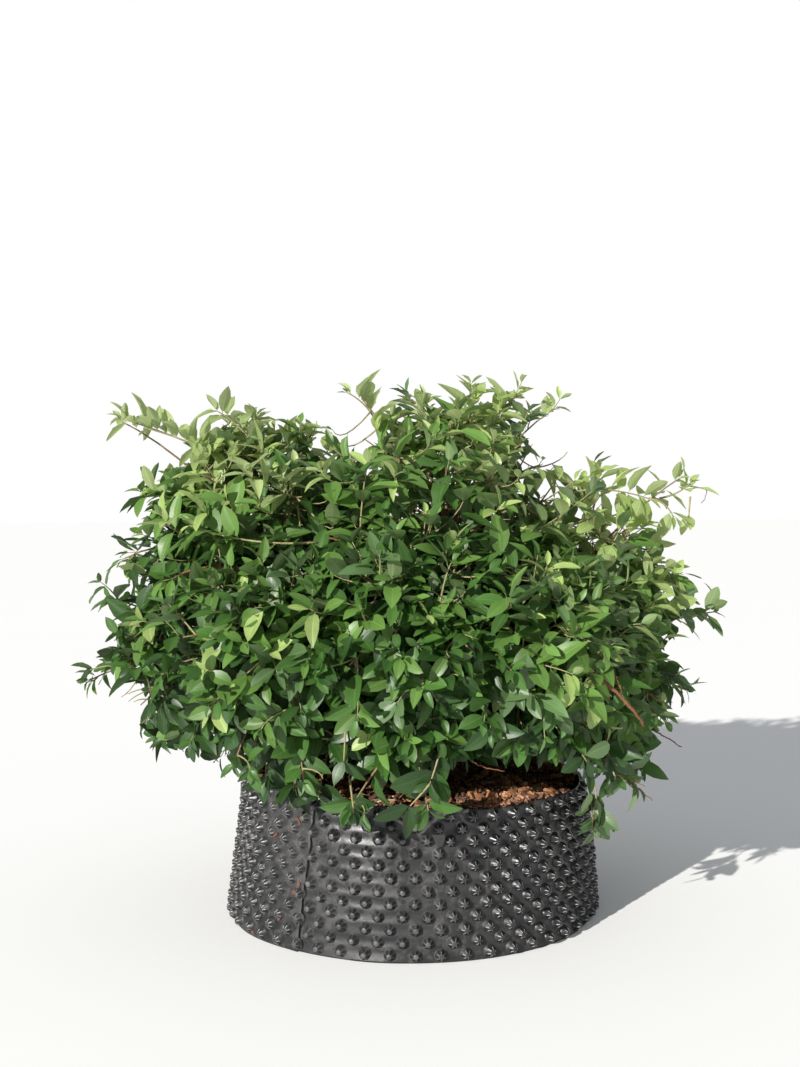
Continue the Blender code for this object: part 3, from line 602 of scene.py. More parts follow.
def soilHeight(x, y):
    # level near the stem, falling to just under the rim, with small lumps and one heap
    radius = np.hypot(x, y)
    angle = np.arctan2(y, x)
    edge = rimHeight(angle) - soil["belowRim"]
    part = np.clip((radius - soil["patchRadius"]) / (pot["topRadius"] - soil["patchRadius"]), 0, 1)
    away = np.hypot(x - soil["heapPlace"][0], y - soil["heapPlace"][1]) / soil["heapSpread"]
    lump = soil["lump"] * np.sin(soil["lumpTurns"] * angle + radius / soil["patchRadius"]) * smoothStep(0, 0.2, part)
    return soil["patchHeight"] + (edge - soil["patchHeight"]) * part + lump + soil["heapHeight"] * np.exp(-away * away)


def buildSoil(finish):
    # rings from the middle of the top out to the wall, down it, and in under the bottom
    draw = np.random.default_rng(41)
    rings, columns = soil["rings"], soil["columns"]
    angle = 2 * math.pi * np.arange(columns) / columns
    wall = wallRadius(angle, 0.96) - pot["sheet"] - 0.0004
    foot = potRadius(pot["floor"]) - pot["sheet"] - 0.003
    part = np.linspace(0.01, 1, rings)[:, None]
    x, y = part * wall * np.cos(angle), part * wall * np.sin(angle)
    grain = soil["grain"] * draw.normal(0, 0.5, (rings, columns)) * (1 - part ** 12)
    top = np.stack([x, y, soilHeight(x, y) + grain], -1)
    low = np.stack([foot * np.cos(angle), foot * np.sin(angle), np.full(columns, pot["floor"] + 0.0004)], -1)[None]
    inner = low * np.array((0.02, 0.02, 1.0))
    ring = np.concatenate([top, low, inner]).reshape(-1, 3)
    points = np.concatenate([ring, [(0, 0, soil["patchHeight"]), (0, 0, pot["floor"] + 0.0004)]])
    turn = np.arange(columns)
    after = (turn + 1) % columns
    last = (rings + 1) * columns
    fans = np.concatenate([np.stack([turn, after, np.full(columns, len(ring))], -1),
                           np.stack([last + after, last + turn, np.full(columns, len(ring) + 1)], -1)])
    return addPiece("compost", points, gridQuads(rings + 2, columns, True)[:, ::-1], fans, finish=finish)


def buildChips(name, x, y, long, draw, finish):
    # a chip is three rings of six points, flattened and pointed at both ends, its points set in and out at random
    count = len(x)
    length = draw.uniform(*long, count) * draw.uniform(0.4, 1.2, count)
    wide = length * draw.uniform(*chips["wide"], count)
    thick = length * draw.uniform(*chips["thick"], count)
    centre = np.stack([x, y, soilHeight(x, y) + thick * 0.25 + draw.uniform(0, 1, count) * chips["lift"]], -1)
    way = unit(draw.normal(0, 1, (count, 3)) * (1, 1, 0.35))
    side = unit(np.cross(up + draw.normal(0, 0.3, (count, 3)), way))
    face = np.cross(way, side)
    along = np.array((-0.42, 0.0, 0.40))
    size = np.array((0.75, 1.0, 0.6))
    turn = 2 * math.pi * np.arange(6) / 6
    rough = draw.uniform(0.65, 1.2, (count, 3, 6))
    a = along[None, :, None] * length[:, None, None] + 0 * rough
    b = np.cos(turn) * size[:, None] * rough * wide[:, None, None] / 2
    c = np.sin(turn) * size[:, None] * rough * thick[:, None, None] / 2
    points = (centre[:, None, None] + way[:, None, None] * a[..., None] + side[:, None, None] * b[..., None]
              + face[:, None, None] * c[..., None]).reshape(count, 18, 3)
    ends = np.stack([centre - way * length[:, None] * 0.52, centre + way * length[:, None] * 0.5], 1)
    points = np.concatenate([points, ends], axis=1)
    around = np.arange(6)
    after = (around + 1) % 6
    fans = np.concatenate([np.stack([after, around, np.full(6, 18)], -1),
                           np.stack([12 + around, 12 + after, np.full(6, 19)], -1)])
    tone = np.repeat(draw.uniform(0, 1, count) ** 1.7, 20)
    return addPiece(name, points.reshape(-1, 3), repeatFaces(gridQuads(3, 6, True), 20, count),
                    repeatFaces(fans, 20, count), tone=tone, finish=finish, smooth=False)


def buildLitter(finish):
    # dry twigs that lie on the chips, most of them at the front left
    draw = np.random.default_rng(54)
    count = litter["count"]
    x, y = chipSpots(count, draw)
    front = draw.uniform(0, 1, count) < litter["frontShare"]
    x = np.where(front, draw.normal(litter["place"][0], litter["spread"][0], count), x)
    y = np.where(front, draw.normal(litter["place"][1], litter["spread"][1], count), y)
    x, y = withinPot(x, y)
    turn = draw.uniform(0, 2 * math.pi, count)
    length = draw.uniform(*litter["long"], count)
    way = np.stack([np.cos(turn), np.sin(turn), draw.uniform(-0.15, 0.45, count)], -1)
    first = np.stack(withinPot(x - way[:, 0] * length / 2, y - way[:, 1] * length / 2), -1)
    last = np.stack(withinPot(x + way[:, 0] * length / 2, y + way[:, 1] * length / 2), -1)
    low = soilHeight(first[:, 0], first[:, 1]) + 0.004
    high = soilHeight(last[:, 0], last[:, 1]) + 0.004 + np.maximum(way[:, 2], 0) * length
    starts = np.concatenate([first, low[:, None]], axis=1)
    ends = np.concatenate([last, high[:, None]], axis=1)
    middle = (starts + ends) / 2 + draw.normal(0, 0.003, (count, 3)) + up * 0.003
    paths = bentPaths(starts, middle, ends, 7)
    radii = draw.uniform(*litter["radius"], (count, 1)) * np.linspace(1, 0.7, 7)[None]
    points, quads, fans, uv = tubes(paths, radii, 6)
    return addPiece("dryTwigs", points, quads, fans, uv=uv, finish=finish)


def compostFinish():
    # dark compost: two browns mixed by fine noise, with pale fibres where small cells are thin
    made = Finish("barkMulch", Roughness=0.92)
    place = made.place()
    crumbs = made.noise(place, 160.0, 5.0, 0.7)
    cells = made.cells(place, 230.0)
    colour = made.mix(crumbs.between(0.35, 0.65), (0.018, 0.009, 0.006), (0.085, 0.036, 0.018))
    colour = made.mix(cells.between(0.0, 0.25) * 0.3, colour, (0.16, 0.085, 0.045))
    made.feed(Base_Color=colour, Normal=made.bump(crumbs + cells * 0.5, 0.9, 0.003))
    return made.material


def chipFinish(name, dark, light):
    # bark chips: each one between two browns by its own tone, streaked along by noise
    made = Finish(name, Roughness=0.85)
    tone = made.add("ShaderNodeAttribute", {"attribute_name": "tone"}, output="Fac")
    place = made.place()
    streak = made.noise(place, 300.0, 4.0, 0.65)
    colour = made.mix((tone * 0.6 + streak * 0.55 - 0.05).clamped(), dark, light)
    made.feed(Base_Color=colour, Normal=made.bump(streak, 0.7, 0.0012))
    return made.material


# The crown's rule, as the part grows it

crown = {
    "stemHead": (0.012, 0.010, 0.278), "stubLength": 0.052, "boughRise": 0.30, "boughEnd": 0.95,
    "centre": (-0.015, 0.000, 0.506), "radii": (0.450, 0.390, 0.280), "hiddenPart": 0.56,
    "twigsTried": 30, "twigPart": 0.95, "twigLeastPart": 0.60, "twigArch": 0.16, "seed": 7,
}
masses = {  # centre and radii of the main body of each mass of foliage
    "upper_left": ((-0.240, 0.005, 0.592), (0.170, 0.225, 0.156)),
    "top_centre": ((0.050, -0.010, 0.614), (0.200, 0.240, 0.166)),
    "upper_right": ((0.262, 0.030, 0.517), (0.142, 0.215, 0.133)),
    "left": ((-0.308, 0.000, 0.400), (0.156, 0.225, 0.140)),
    "right": ((0.262, -0.010, 0.376), (0.137, 0.215, 0.142)),
    "front_left": ((-0.190, -0.195, 0.432), (0.165, 0.155, 0.150)),
    "front_middle": ((-0.010, -0.240, 0.474), (0.145, 0.130, 0.150)),
    "front_right": ((0.165, -0.195, 0.430), (0.158, 0.155, 0.143)),
    "front_low": ((-0.005, -0.262, 0.326), (0.085, 0.070, 0.048)),
    "back_left": ((-0.145, 0.210, 0.431), (0.185, 0.155, 0.192)),
    "back_right": ((0.135, 0.210, 0.426), (0.180, 0.155, 0.188)),
}
longShoots = {  # where the long shoots of a mass end
    "upper_left": [(-0.458, -0.060, 0.776), (-0.258, -0.020, 0.782), (-0.422, -0.060, 0.664),
                   (-0.462, -0.050, 0.550), (-0.145, -0.030, 0.762)],
    "top_centre": [(-0.088, -0.030, 0.814), (0.004, -0.020, 0.816), (0.105, -0.010, 0.828),
                   (0.170, 0.010, 0.816), (0.232, 0.030, 0.790)],
    "upper_right": [(0.440, 0.030, 0.684), (0.300, 0.050, 0.702), (0.425, -0.020, 0.518)],
    "left": [(-0.518, -0.060, 0.362), (-0.490, 0.000, 0.494), (-0.405, -0.060, 0.262)],
    "right": [(0.488, -0.020, 0.470), (0.440, -0.060, 0.342), (0.262, -0.200, 0.146),
              (0.362, -0.060, 0.205), (0.308, -0.135, 0.208)],
    "front_left": [(-0.258, -0.285, 0.264), (-0.150, -0.310, 0.248)],
    "front_right": [(0.255, -0.235, 0.250)],
    "front_low": [(0.022, -0.330, 0.208), (-0.100, -0.325, 0.212)],
    "back_left": [(-0.270, 0.390, 0.566)],
    "back_right": [(0.290, 0.380, 0.551)],
}


bareShoots = {  # long shoots with leaves only on their outer part: the number, and its pairs of leaves
    "upper_left": (0, 3), "top_centre": (0, 6), "upper_right": (0, 4), "right": (2, 4), "front_low": (0, 2),
}


singles = [  # single shoots: start, bend, end, pairs of leaves, and the size of these
    ((-0.074, -0.200, 0.530), (-0.080, -0.235, 0.610), (-0.064, -0.215, 0.700), 10, 1.0),
    ((-0.135, -0.215, 0.586), (-0.230, -0.245, 0.580), (-0.318, -0.225, 0.612), 7, 1.0),
    ((0.236, -0.020, 0.646), (0.290, -0.030, 0.668), (0.372, -0.020, 0.640), 6, 1.0),
    ((0.444, 0.030, 0.642), (0.442, 0.025, 0.628), (0.440, 0.020, 0.612), 1, 1.5),
    ((0.395, 0.030, 0.640), (0.425, 0.030, 0.645), (0.444, 0.030, 0.664), 3, 1.4),
    ((-0.290, -0.040, 0.708), (-0.365, -0.055, 0.744), (-0.442, -0.060, 0.768), 14, 1.2),
    ((-0.250, -0.040, 0.690), (-0.345, -0.070, 0.738), (-0.400, -0.070, 0.752), 12, 1.15),
    ((-0.220, -0.040, 0.700), (-0.270, -0.060, 0.770), (-0.300, -0.060, 0.780), 8, 1.2),
    ((0.370, -0.020, 0.640), (0.395, -0.020, 0.640), (0.408, -0.020, 0.612), 2, 1.0),
    ((-0.040, -0.020, 0.730), (-0.060, -0.020, 0.790), (-0.100, -0.030, 0.808), 6, 1.0),
    ((-0.095, -0.280, 0.345), (-0.095, -0.310, 0.325), (-0.097, -0.315, 0.292), 1, 1.5),
    ((0.040, -0.270, 0.320), (0.035, -0.320, 0.300), (0.020, -0.335, 0.264), 3, 1.2),
    ((0.020, -0.335, 0.264), (0.008, -0.338, 0.250), (-0.007, -0.340, 0.235), 1, 1.7),
    ((-0.150, -0.140, 0.300), (-0.165, -0.215, 0.276), (-0.170, -0.268, 0.238), 4, 0.9),
    ((-0.120, -0.150, 0.300), (-0.128, -0.225, 0.272), (-0.134, -0.288, 0.236), 3, 0.9),
    ((-0.205, -0.130, 0.300), (-0.215, -0.190, 0.280), (-0.212, -0.232, 0.246), 4, 0.9),
    ((0.254, -0.140, 0.262), (0.276, -0.160, 0.222), (0.266, -0.162, 0.170), 4, 0.95),
    ((-0.430, -0.080, 0.396), (-0.466, -0.085, 0.394), (-0.492, -0.085, 0.386), 2, 1.2),
    ((-0.090, -0.290, 0.262), (-0.086, -0.322, 0.246), (-0.083, -0.336, 0.224), 3, 0.8),
]


skyGaps = [  # where the photo shows sky: middle and half sizes, seen from its camera on the plane y = 0
    (-0.088, 0.752, 0.040, 0.026), (-0.125, 0.790, 0.050, 0.020), (-0.415, 0.725, 0.070, 0.016),
    (-0.490, 0.690, 0.060, 0.030), (0.205, 0.742, 0.020, 0.022), (0.250, 0.730, 0.030, 0.045),
    (0.185, 0.700, 0.016, 0.012), (0.215, 0.655, 0.020, 0.012), (0.300, 0.640, 0.024, 0.010),
    (0.258, 0.618, 0.018, 0.014), (0.330, 0.598, 0.022, 0.010), (0.285, 0.575, 0.014, 0.010),
    (0.420, 0.560, 0.026, 0.014), (0.450, 0.400, 0.040, 0.024), (0.480, 0.545, 0.026, 0.026),
    (-0.455, 0.318, 0.030, 0.040), (-0.500, 0.560, 0.030, 0.016), (-0.520, 0.440, 0.040, 0.020),
]


soilGaps = [  # where it shows soil under the crown, with only long shoots in front, given the same way
    (-0.150, 0.203, 0.080, 0.044), (-0.020, 0.192, 0.125, 0.042),
]


def seenIn(gaps, places):
    # whether a place is seen from the photo's camera in one of these gaps
    eye = np.array(photo["place"])
    seen = eye + (places - eye) * (eye[1] / (eye[1] - places[..., 1:2]))
    gap = np.array(gaps)
    aside = (seen[..., None, 0] - gap[:, 0]) / gap[:, 2]
    above = (seen[..., None, 2] - gap[:, 1]) / gap[:, 3]
    return (aside ** 2 + above ** 2 < 1).any(axis=-1)



bareStems = [  # stems without leaves: start, bend, end and radius
    ((0.236, -0.290, 0.418), (0.284, -0.325, 0.384), (0.318, -0.292, 0.333), 0.0032),
    ((0.262, -0.285, 0.425), (0.280, -0.312, 0.405), (0.284, -0.310, 0.378), 0.0017),
    ((0.320, -0.080, 0.312), (0.370, -0.085, 0.290), (0.410, -0.080, 0.262), 0.0014),
    ((0.280, -0.130, 0.245), (0.320, -0.135, 0.225), (0.356, -0.130, 0.192), 0.0011),
    ((0.265, -0.150, 0.262), (0.310, -0.150, 0.240), (0.342, -0.150, 0.218), 0.0010),
    ((-0.234, -0.205, 0.540), (-0.290, -0.240, 0.566), (-0.342, -0.200, 0.536), 0.0017),
    ((-0.120, -0.200, 0.590), (-0.080, -0.215, 0.585), (-0.040, -0.200, 0.600), 0.0016),
    ((0.447, 0.030, 0.655), (0.484, 0.030, 0.662), (0.462, 0.030, 0.632), 0.0008),
    ((-0.165, -0.235, 0.300), (-0.150, -0.270, 0.270), (-0.120, -0.255, 0.222), 0.0013),
    ((0.055, -0.240, 0.300), (0.075, -0.280, 0.275), (0.125, -0.275, 0.268), 0.0012),
]
shoots = {
    "tried": 255,                     # directions tried for fine shoots in each mass
    "density": {"upper_right": 0.55, "top_centre": 0.95, "front_low": 0.25},
    "reach": 1.00,                    # where the longest end, in parts of the mass's reach
    "uneven": 0.055,                  # spread of that from shoot to shoot
    "inner": 0.46,                    # how much shorter the innermost are
    "fill": 1.32,                     # how far they may reach on to fill the valley to a neighbour
    "seam": 0.018,                    # how far they may cross into the next mass's space
    "leastPart": 0.50, "shortest": 0.055,
    "bend": 0.42, "stray": 0.30,      # how far back the control point lies, and its spread
    "riseHeights": (0.20, 0.32, 0.45, 0.65, 0.80), "rises": (-0.7, -0.25, 0.25, 0.9, 1.2),
    "rings": 7, "sides": 5, "footRadius": 0.0015, "tipRadius": 0.0006,
    "twigFoot": 0.0026, "twigTip": 0.0010,
    "pairs": 8, "firstPair": 0.002, "spacing": (0.007, 0.028), "widening": 0.9,
    "longPairs": 11, "longSpacing": (0.004, 0.026), "singleSpacing": (0.004, 0.015), "sprigs": 6,
    "fewSprigs": {"front_left": 2, "front_low": 2, "front_right": 3, "right": 4, "left": 4, "top_centre": 5},
    "sprigLength": (0.045, 0.085),
}
leaves = {
    "length": 0.061, "width": 0.236, "petiole": 0.08, "petioleWidth": 0.011,
    "root": (0.58, 0.92), "point": (0.76, 1.10),   # powers of the blade's outline at root and tip
    "far": (0.98, 1.15), "above": (0.26, 0.34), "farShorter": 0.28,    # smaller far out on long shoots
    "rows": (0.0, 0.12, 0.32, 0.56, 0.78, 0.92),   # places of the rows of points along the blade
    "sizes": (0.50, 0.85, 1.0, 1.0, 1.0, 1.0, 0.97, 0.95, 0.92, 0.90, 0.90),   # from the tip of a shoot back
    "curl": (0.05, 0.75), "fold": (0.10, 0.48), "highFold": (0.40, 0.85), "twist": 0.34,
    "wave": 0.07, "highWave": 0.16,
    "heights": (0.20, 0.45, 0.60, 0.75), "lift": (0.25, 0.60, 1.5, 2.8), "sag": (0.45, 0.15, 0.05, 0.0),
    "folded": (0.58, 0.74),                        # heights between which the leaves fold up more
    "tilt": 0.38, "potClearance": 0.004, "perPiece": 3700,
}


def reachOf(mass, ways):
    # how far a mass's main body reaches from its centre along each direction
    return 1 / np.linalg.norm(ways / np.array(masses[mass][1]), axis=-1)


def cellPlanes(mass):
    # planes between a mass and each other one, shared out by their mean radii
    centre, radii = (np.array(v) for v in masses[mass])
    others = [value for name, value in masses.items() if name != mass]
    places, sizes = np.array([v[0] for v in others]), np.array([v[1] for v in others])
    apart = np.linalg.norm(places - centre, axis=1)
    share = (apart ** 2 + radii.mean() ** 2 - sizes.mean(axis=1) ** 2) / (2 * apart)
    normals = (places - centre) / apart[:, None]
    return normals, normals @ centre + share


def cellReach(centre, ways, planes):
    # how far rays from the centre run before they meet the planes of the cell
    normals, distances = planes
    facing = ways @ normals.T
    room = distances - normals @ centre
    return np.where(facing > 1e-6, room / np.maximum(facing, 1e-6), np.inf).min(axis=1)


def evenDirections(count):
    # a spiral that spreads directions evenly over a sphere
    i = np.arange(count)
    height = 1 - 2 * (i + 0.5) / count
    flat = np.sqrt(1 - height ** 2)
    return np.stack([flat * np.cos(goldenTurn * i), flat * np.sin(goldenTurn * i), height], -1)


def depthIn(places):
    # how far out a place lies, in parts of the whole crown's radii
    return np.linalg.norm((places - np.array(crown["centre"])) / np.array(crown["radii"]), axis=-1)


def bentPaths(starts, controls, ends, rings):
    # quadratic curves: each leaves its start towards the control point and bends to its end
    t = np.linspace(0, 1, rings)[None, :, None]
    return (1 - t) ** 2 * starts[:, None] + 2 * t * (1 - t) * controls[:, None] + t * t * ends[:, None]


def massEntry(mass):
    # where a mass's bough ends, and the direction from there to the mass's centre
    centre, head = np.array(masses[mass][0]), np.array(crown["stemHead"])
    way = unit(centre - head)
    return centre - way * reachOf(mass, way) * crown["boughEnd"], way


def boughStart(mass):
    head = np.array(crown["stemHead"])
    out = unit(unit(massEntry(mass)[0] - head) + up * crown["boughRise"])
    return head + out * crown["stubLength"], out


def mainTwigs(mass):
    # the twigs of the part: evenly spread, cut short at the cell's planes, none deep inside,
    # and one for each long shoot
    centre = np.array(masses[mass][0])
    ways = evenDirections(crown["twigsTried"])
    full = reachOf(mass, ways) * crown["twigPart"]
    reach = np.minimum(full, cellReach(centre, ways, cellPlanes(mass)) - 0.015)
    tips = centre + ways * reach[:, None]
    kept = (reach >= crown["twigLeastPart"] * full) & (depthIn(tips) > crown["hiddenPart"])
    ends = np.array(longShoots.get(mass, [])).reshape(-1, 3)
    ends = ends - unit(ends - centre) * leaves["length"] * 0.3
    return tips[kept], ends


def fineShoots(mass, draw):
    # each shoot's tip lies on its own direction from the mass's centre, and it starts from the
    # nearest place on a main twig that is far enough from its tip
    centre = np.array(masses[mass][0])
    tips, ends = mainTwigs(mass)
    allTips = np.concatenate([tips, ends])
    rise = crown["twigArch"] * np.linalg.norm((allTips - centre)[:, :2], axis=1)
    middle = (centre + allTips) / 2 + up * rise[:, None]
    entry = massEntry(mass)[0]
    roots = entry + (centre - entry) * draw.uniform(0.35, 1.0, (len(allTips), 1))
    trunks = bentPaths(roots, middle, allTips, 9)
    tried = int(shoots["tried"] * shoots["density"].get(mass, 1))
    ways = unit(evenDirections(tried) + draw.normal(0, 0.07, (tried, 3)))
    cell = cellReach(centre, ways, cellPlanes(mass))
    full = reachOf(mass, ways)
    full = np.where((cell > full) & (cell < full * shoots["fill"]), cell, full)
    longest = shoots["reach"] + shoots["uneven"] * draw.normal(0, 1, tried).clip(-1.5, 2.0)
    full = full * (longest - shoots["inner"] * draw.uniform(0, 1, tried) ** 2.2)
    reach = np.minimum(full, cell + shoots["seam"])
    places = centre + ways * reach[:, None]
    kept = (reach >= shoots["leastPart"] * full) & (depthIn(places) > crown["hiddenPart"] * 0.85)
    kept &= clearOfPot(places, 0.01) & ~seenIn(soilGaps, places)
    places = places[kept]
    stems = trunks[:, 2:8].reshape(-1, 3)
    apart = np.linalg.norm(places[:, None] - stems[None], axis=2)
    nearer = np.linalg.norm(stems - centre, axis=1)[None] < 0.9 * np.linalg.norm(places - centre, axis=1)[:, None]
    cost = np.where((apart > shoots["shortest"]) & nearer, apart, apart + 1.0)
    starts = stems[cost.argmin(axis=1)]
    sprigStarts, sprigEnds = sprigsOf(mass, trunks[len(tips):], draw)
    return trunks, np.concatenate([starts, sprigStarts]), np.concatenate([places, sprigEnds]), len(tips)


def sprigsOf(mass, paths, draw):
    # short side shoots, in turn to the left and right of the outer part of each long shoot
    paths = np.delete(paths, [bareShoots[mass][0]] if mass in bareShoots else [], axis=0)
    if len(paths) == 0:
        return np.zeros((0, 3)), np.zeros((0, 3))
    count = shoots["fewSprigs"].get(mass, shoots["sprigs"])
    number = np.arange(count)
    along = np.linspace(0.42, 0.93, count) * (paths.shape[1] - 1)
    low = along.astype(int)
    part = (along - low)[None, :, None]
    starts = paths[:, low] * (1 - part) + paths[:, low + 1] * part
    way = unit(paths[:, low + 1] - paths[:, low])
    side = unit(np.cross(way, up)) * np.where(number % 2 == 0, 1, -1)[None, :, None]
    out = unit(side + way * 0.8 + up * 0.35 + draw.normal(0, 0.25, way.shape))
    shorter = np.linspace(1.0, 0.55, count)[None, :, None]
    ends = starts + out * draw.uniform(*shoots["sprigLength"], way.shape[:2] + (1,)) * shorter
    return starts.reshape(-1, 3), ends.reshape(-1, 3)


def clearOfPot(places, margin):
    radius = np.hypot(places[..., 0], places[..., 1])
    outside = potRadius(places[..., 2]) + 0.009 + margin
    above = pot["height"] + pot["rimTilt"] + soil["heapHeight"] + margin
    return (radius > outside) | (places[..., 2] > above)


def bendOf(starts, ends, centre, draw):
    # the control point of a shoot, set back from its tip so that the tip points out of its mass,
    # up at the top of the crown and down at its foot
    length = np.linalg.norm(ends - starts, axis=1)[:, None]
    rise = np.interp(ends[:, 2], shoots["riseHeights"], shoots["rises"])[:, None]
    outward = unit(ends - centre) + 0.6 * unit(ends - np.array(crown["centre"]))
    wanted = unit(outward + up * rise + draw.normal(0, shoots["stray"], ends.shape))
    return ends - wanted * length * shoots["bend"]


def leafPlaces(starts, controls, ends, pairs, spacing, draw):
    # pairs of leaves from the tip of each shoot back: place, direction of the shoot, the turn
    # round it, the number of the pair and the number of the shoot
    count = len(starts)
    number = np.arange(pairs)
    low, high = spacing
    step = low + (high - low) * np.minimum(number / 3.0, 1) ** shoots["widening"]
    back = shoots["firstPair"] + np.cumsum(step)[None] * draw.uniform(0.85, 1.15, (count, pairs)) - low
    length = np.linalg.norm(ends - starts, axis=1)[:, None] * 1.04
    t = 1 - back / length
    tt = np.clip(t, 0, 1)[..., None]
    a, b, c = starts[:, None], controls[:, None], ends[:, None]
    place = (1 - tt) ** 2 * a + 2 * tt * (1 - tt) * b + tt ** 2 * c
    way = unit((b - a) * (1 - tt) + (c - b) * tt)
    first = draw.uniform(0, math.pi, (count, 1))
    turn = first + math.pi / 2 * number[None] + draw.normal(0, 0.25, (count, pairs))
    kept = t > 0.08
    shoot = np.repeat(np.arange(count)[:, None], pairs, 1)
    pair = np.repeat(number[None], count, 0)
    both = [np.concatenate([v[kept], v[kept]]) for v in (place, way, turn, pair, shoot)]
    both[2] = both[2] + np.repeat((0.0, math.pi), kept.sum())
    return both


def sproutLeaves(place, way, turn, pair, centre, draw):
    # direction, face and length of each leaf: it leans forward on young pairs and spreads on
    # older ones, sags low down, and its face turns out of the crown, and up near the top
    helper = np.where(np.abs(way[:, 2:]) < 0.9, up, np.array((1.0, 0.0, 0.0)))
    across = unit(np.cross(helper, way))
    upward = np.cross(way, across)
    out = across * np.cos(turn)[:, None] + upward * np.sin(turn)[:, None]
    forward = np.where(pair == 0, 1.2, np.where(pair == 1, 0.75, 0.42))[:, None]
    sag = np.interp(place[:, 2], leaves["heights"], leaves["sag"])[:, None] * (pair > 1)[:, None]
    leafWay = unit(way * forward + out * 0.9 - up * sag + draw.normal(0, 0.16, way.shape))
    outward = unit(unit(place - centre) + unit(place - np.array(crown["stemHead"])))
    lift = np.interp(place[:, 2], leaves["heights"], leaves["lift"])[:, None]
    wanted = up * lift + outward + draw.normal(0, leaves["tilt"], way.shape)
    face = unit(wanted - leafWay * (wanted * leafWay).sum(axis=1, keepdims=True))
    size = leaves["length"] * np.array(leaves["sizes"])[pair] * draw.uniform(0.74, 1.12, len(pair))
    far = smoothStep(*leaves["far"], depthIn(place)) * smoothStep(*leaves["above"], place[:, 2])
    return leafWay, face, size * (1 - leaves["farShorter"] * far)


def leafSurface(place, way, face, size, draw):
    # a blade on a grid of two parameters: along it from root to tip, and across it from edge to
    # edge. Its half width is b^root (1 - b)^point along the blade, scaled to 1 at its widest; it
    # curls down along an arc, its halves fold up from the midrib by an angle that grows with
    # height, its edges wave, and it twists towards its tip
    count = len(place)
    blade = np.array(leaves["rows"])
    b = np.concatenate([[0.0], blade])
    s = np.concatenate([[0.0], leaves["petiole"] + (1 - leaves["petiole"]) * blade])
    root, point = draw.uniform(*leaves["root"], (count, 1)), draw.uniform(*leaves["point"], (count, 1))
    widest = root / (root + point)
    profile = (b / widest) ** root * ((1 - b) / (1 - widest)) ** point
    wide = leaves["width"] * draw.uniform(0.80, 1.12, (count, 1)) * profile
    half = np.maximum(wide, leaves["petioleWidth"])[..., None] * size[:, None, None]
    t = np.linspace(-1, 1, 5)[None, None, :]
    curl = draw.uniform(*leaves["curl"], (count, 1, 1))
    high = smoothStep(*leaves["folded"], place[:, 2])
    high = high * (draw.uniform(0, 1, count) < 0.75)
    low, most = (np.interp(high, (0, 1), pair)[:, None, None] for pair in zip(leaves["fold"], leaves["highFold"]))
    fold = low + (most - low) * draw.uniform(0, 1, (count, 1, 1))
    twist = draw.normal(0, leaves["twist"], (count, 1, 1))
    phase = draw.uniform(0, 2 * math.pi, (count, 1, 1))
    along = s[None, :, None]
    x = size[:, None, None] * np.sin(curl * along) / curl + 0 * t
    down = size[:, None, None] * (1 - np.cos(curl * along)) / curl
    bow = np.abs(t) * (1.35 - 0.35 * np.abs(t))
    wave = leaves["wave"] + (leaves["highWave"] - leaves["wave"]) * high[:, None, None]
    wave = wave * np.sin(10 * along + phase + 2.0 * t) * t * t
    y = half * t * np.cos(fold)
    z = half * (np.sin(fold) * bow + wave)
    angle = twist * along
    turned = y * np.cos(angle) - z * np.sin(angle)
    z = y * np.sin(angle) + z * np.cos(angle) - down
    side = np.cross(way, face)
    points = (place[:, None, None] + way[:, None, None] * x[..., None] + side[:, None, None] * turned[..., None]
              + face[:, None, None] * z[..., None]).reshape(count, -1, 3)
    tipX = size * np.sin(curl[:, 0, 0]) / curl[:, 0, 0]
    tipZ = -size * (1 - np.cos(curl[:, 0, 0])) / curl[:, 0, 0]
    tip = place + way * tipX[:, None] + face * tipZ[:, None]
    return np.concatenate([points, tip[:, None]], axis=1)


def leafMap():
    # across and along of each point of one leaf, and its faces
    rows = len(leaves["rows"]) + 1
    s = np.concatenate([[0.0], leaves["petiole"] + (1 - leaves["petiole"]) * np.array(leaves["rows"])])
    u, v = np.meshgrid(np.linspace(0, 1, 5), s)
    uv = np.concatenate([np.stack([u, v], -1).reshape(-1, 2), [(0.5, 1.0)]])
    last = (rows - 1) * 5
    fan = np.array([(last + i, last + i + 1, rows * 5) for i in range(4)])
    return uv, gridQuads(rows, 5), fan


# the kinds are lit and shaded copies of the leaf colour: the darkest kind is painted shade, the grey and the pale
# kinds are painted sheen of the sky on glossy leaves, and the fresh and lime kinds are lit copies that also stand for
# paler young leaves
leafKinds = {  # upper side, underside and how much light goes through
    "Deep": ((0.0225, 0.060, 0.012), (0.072, 0.112, 0.048), 0.13),
    "Green": ((0.048, 0.117, 0.021), (0.112, 0.172, 0.069), 0.18),
    "Fresh": ((0.098, 0.192, 0.039), (0.166, 0.232, 0.098), 0.25),
    "Lime": ((0.310, 0.415, 0.135), (0.330, 0.405, 0.185), 0.34),
    "Grey": ((0.088, 0.156, 0.058), (0.176, 0.240, 0.124), 0.22),
    "Pale": ((0.300, 0.375, 0.155), (0.350, 0.400, 0.215), 0.30),
}
kindNames = list(leafKinds)


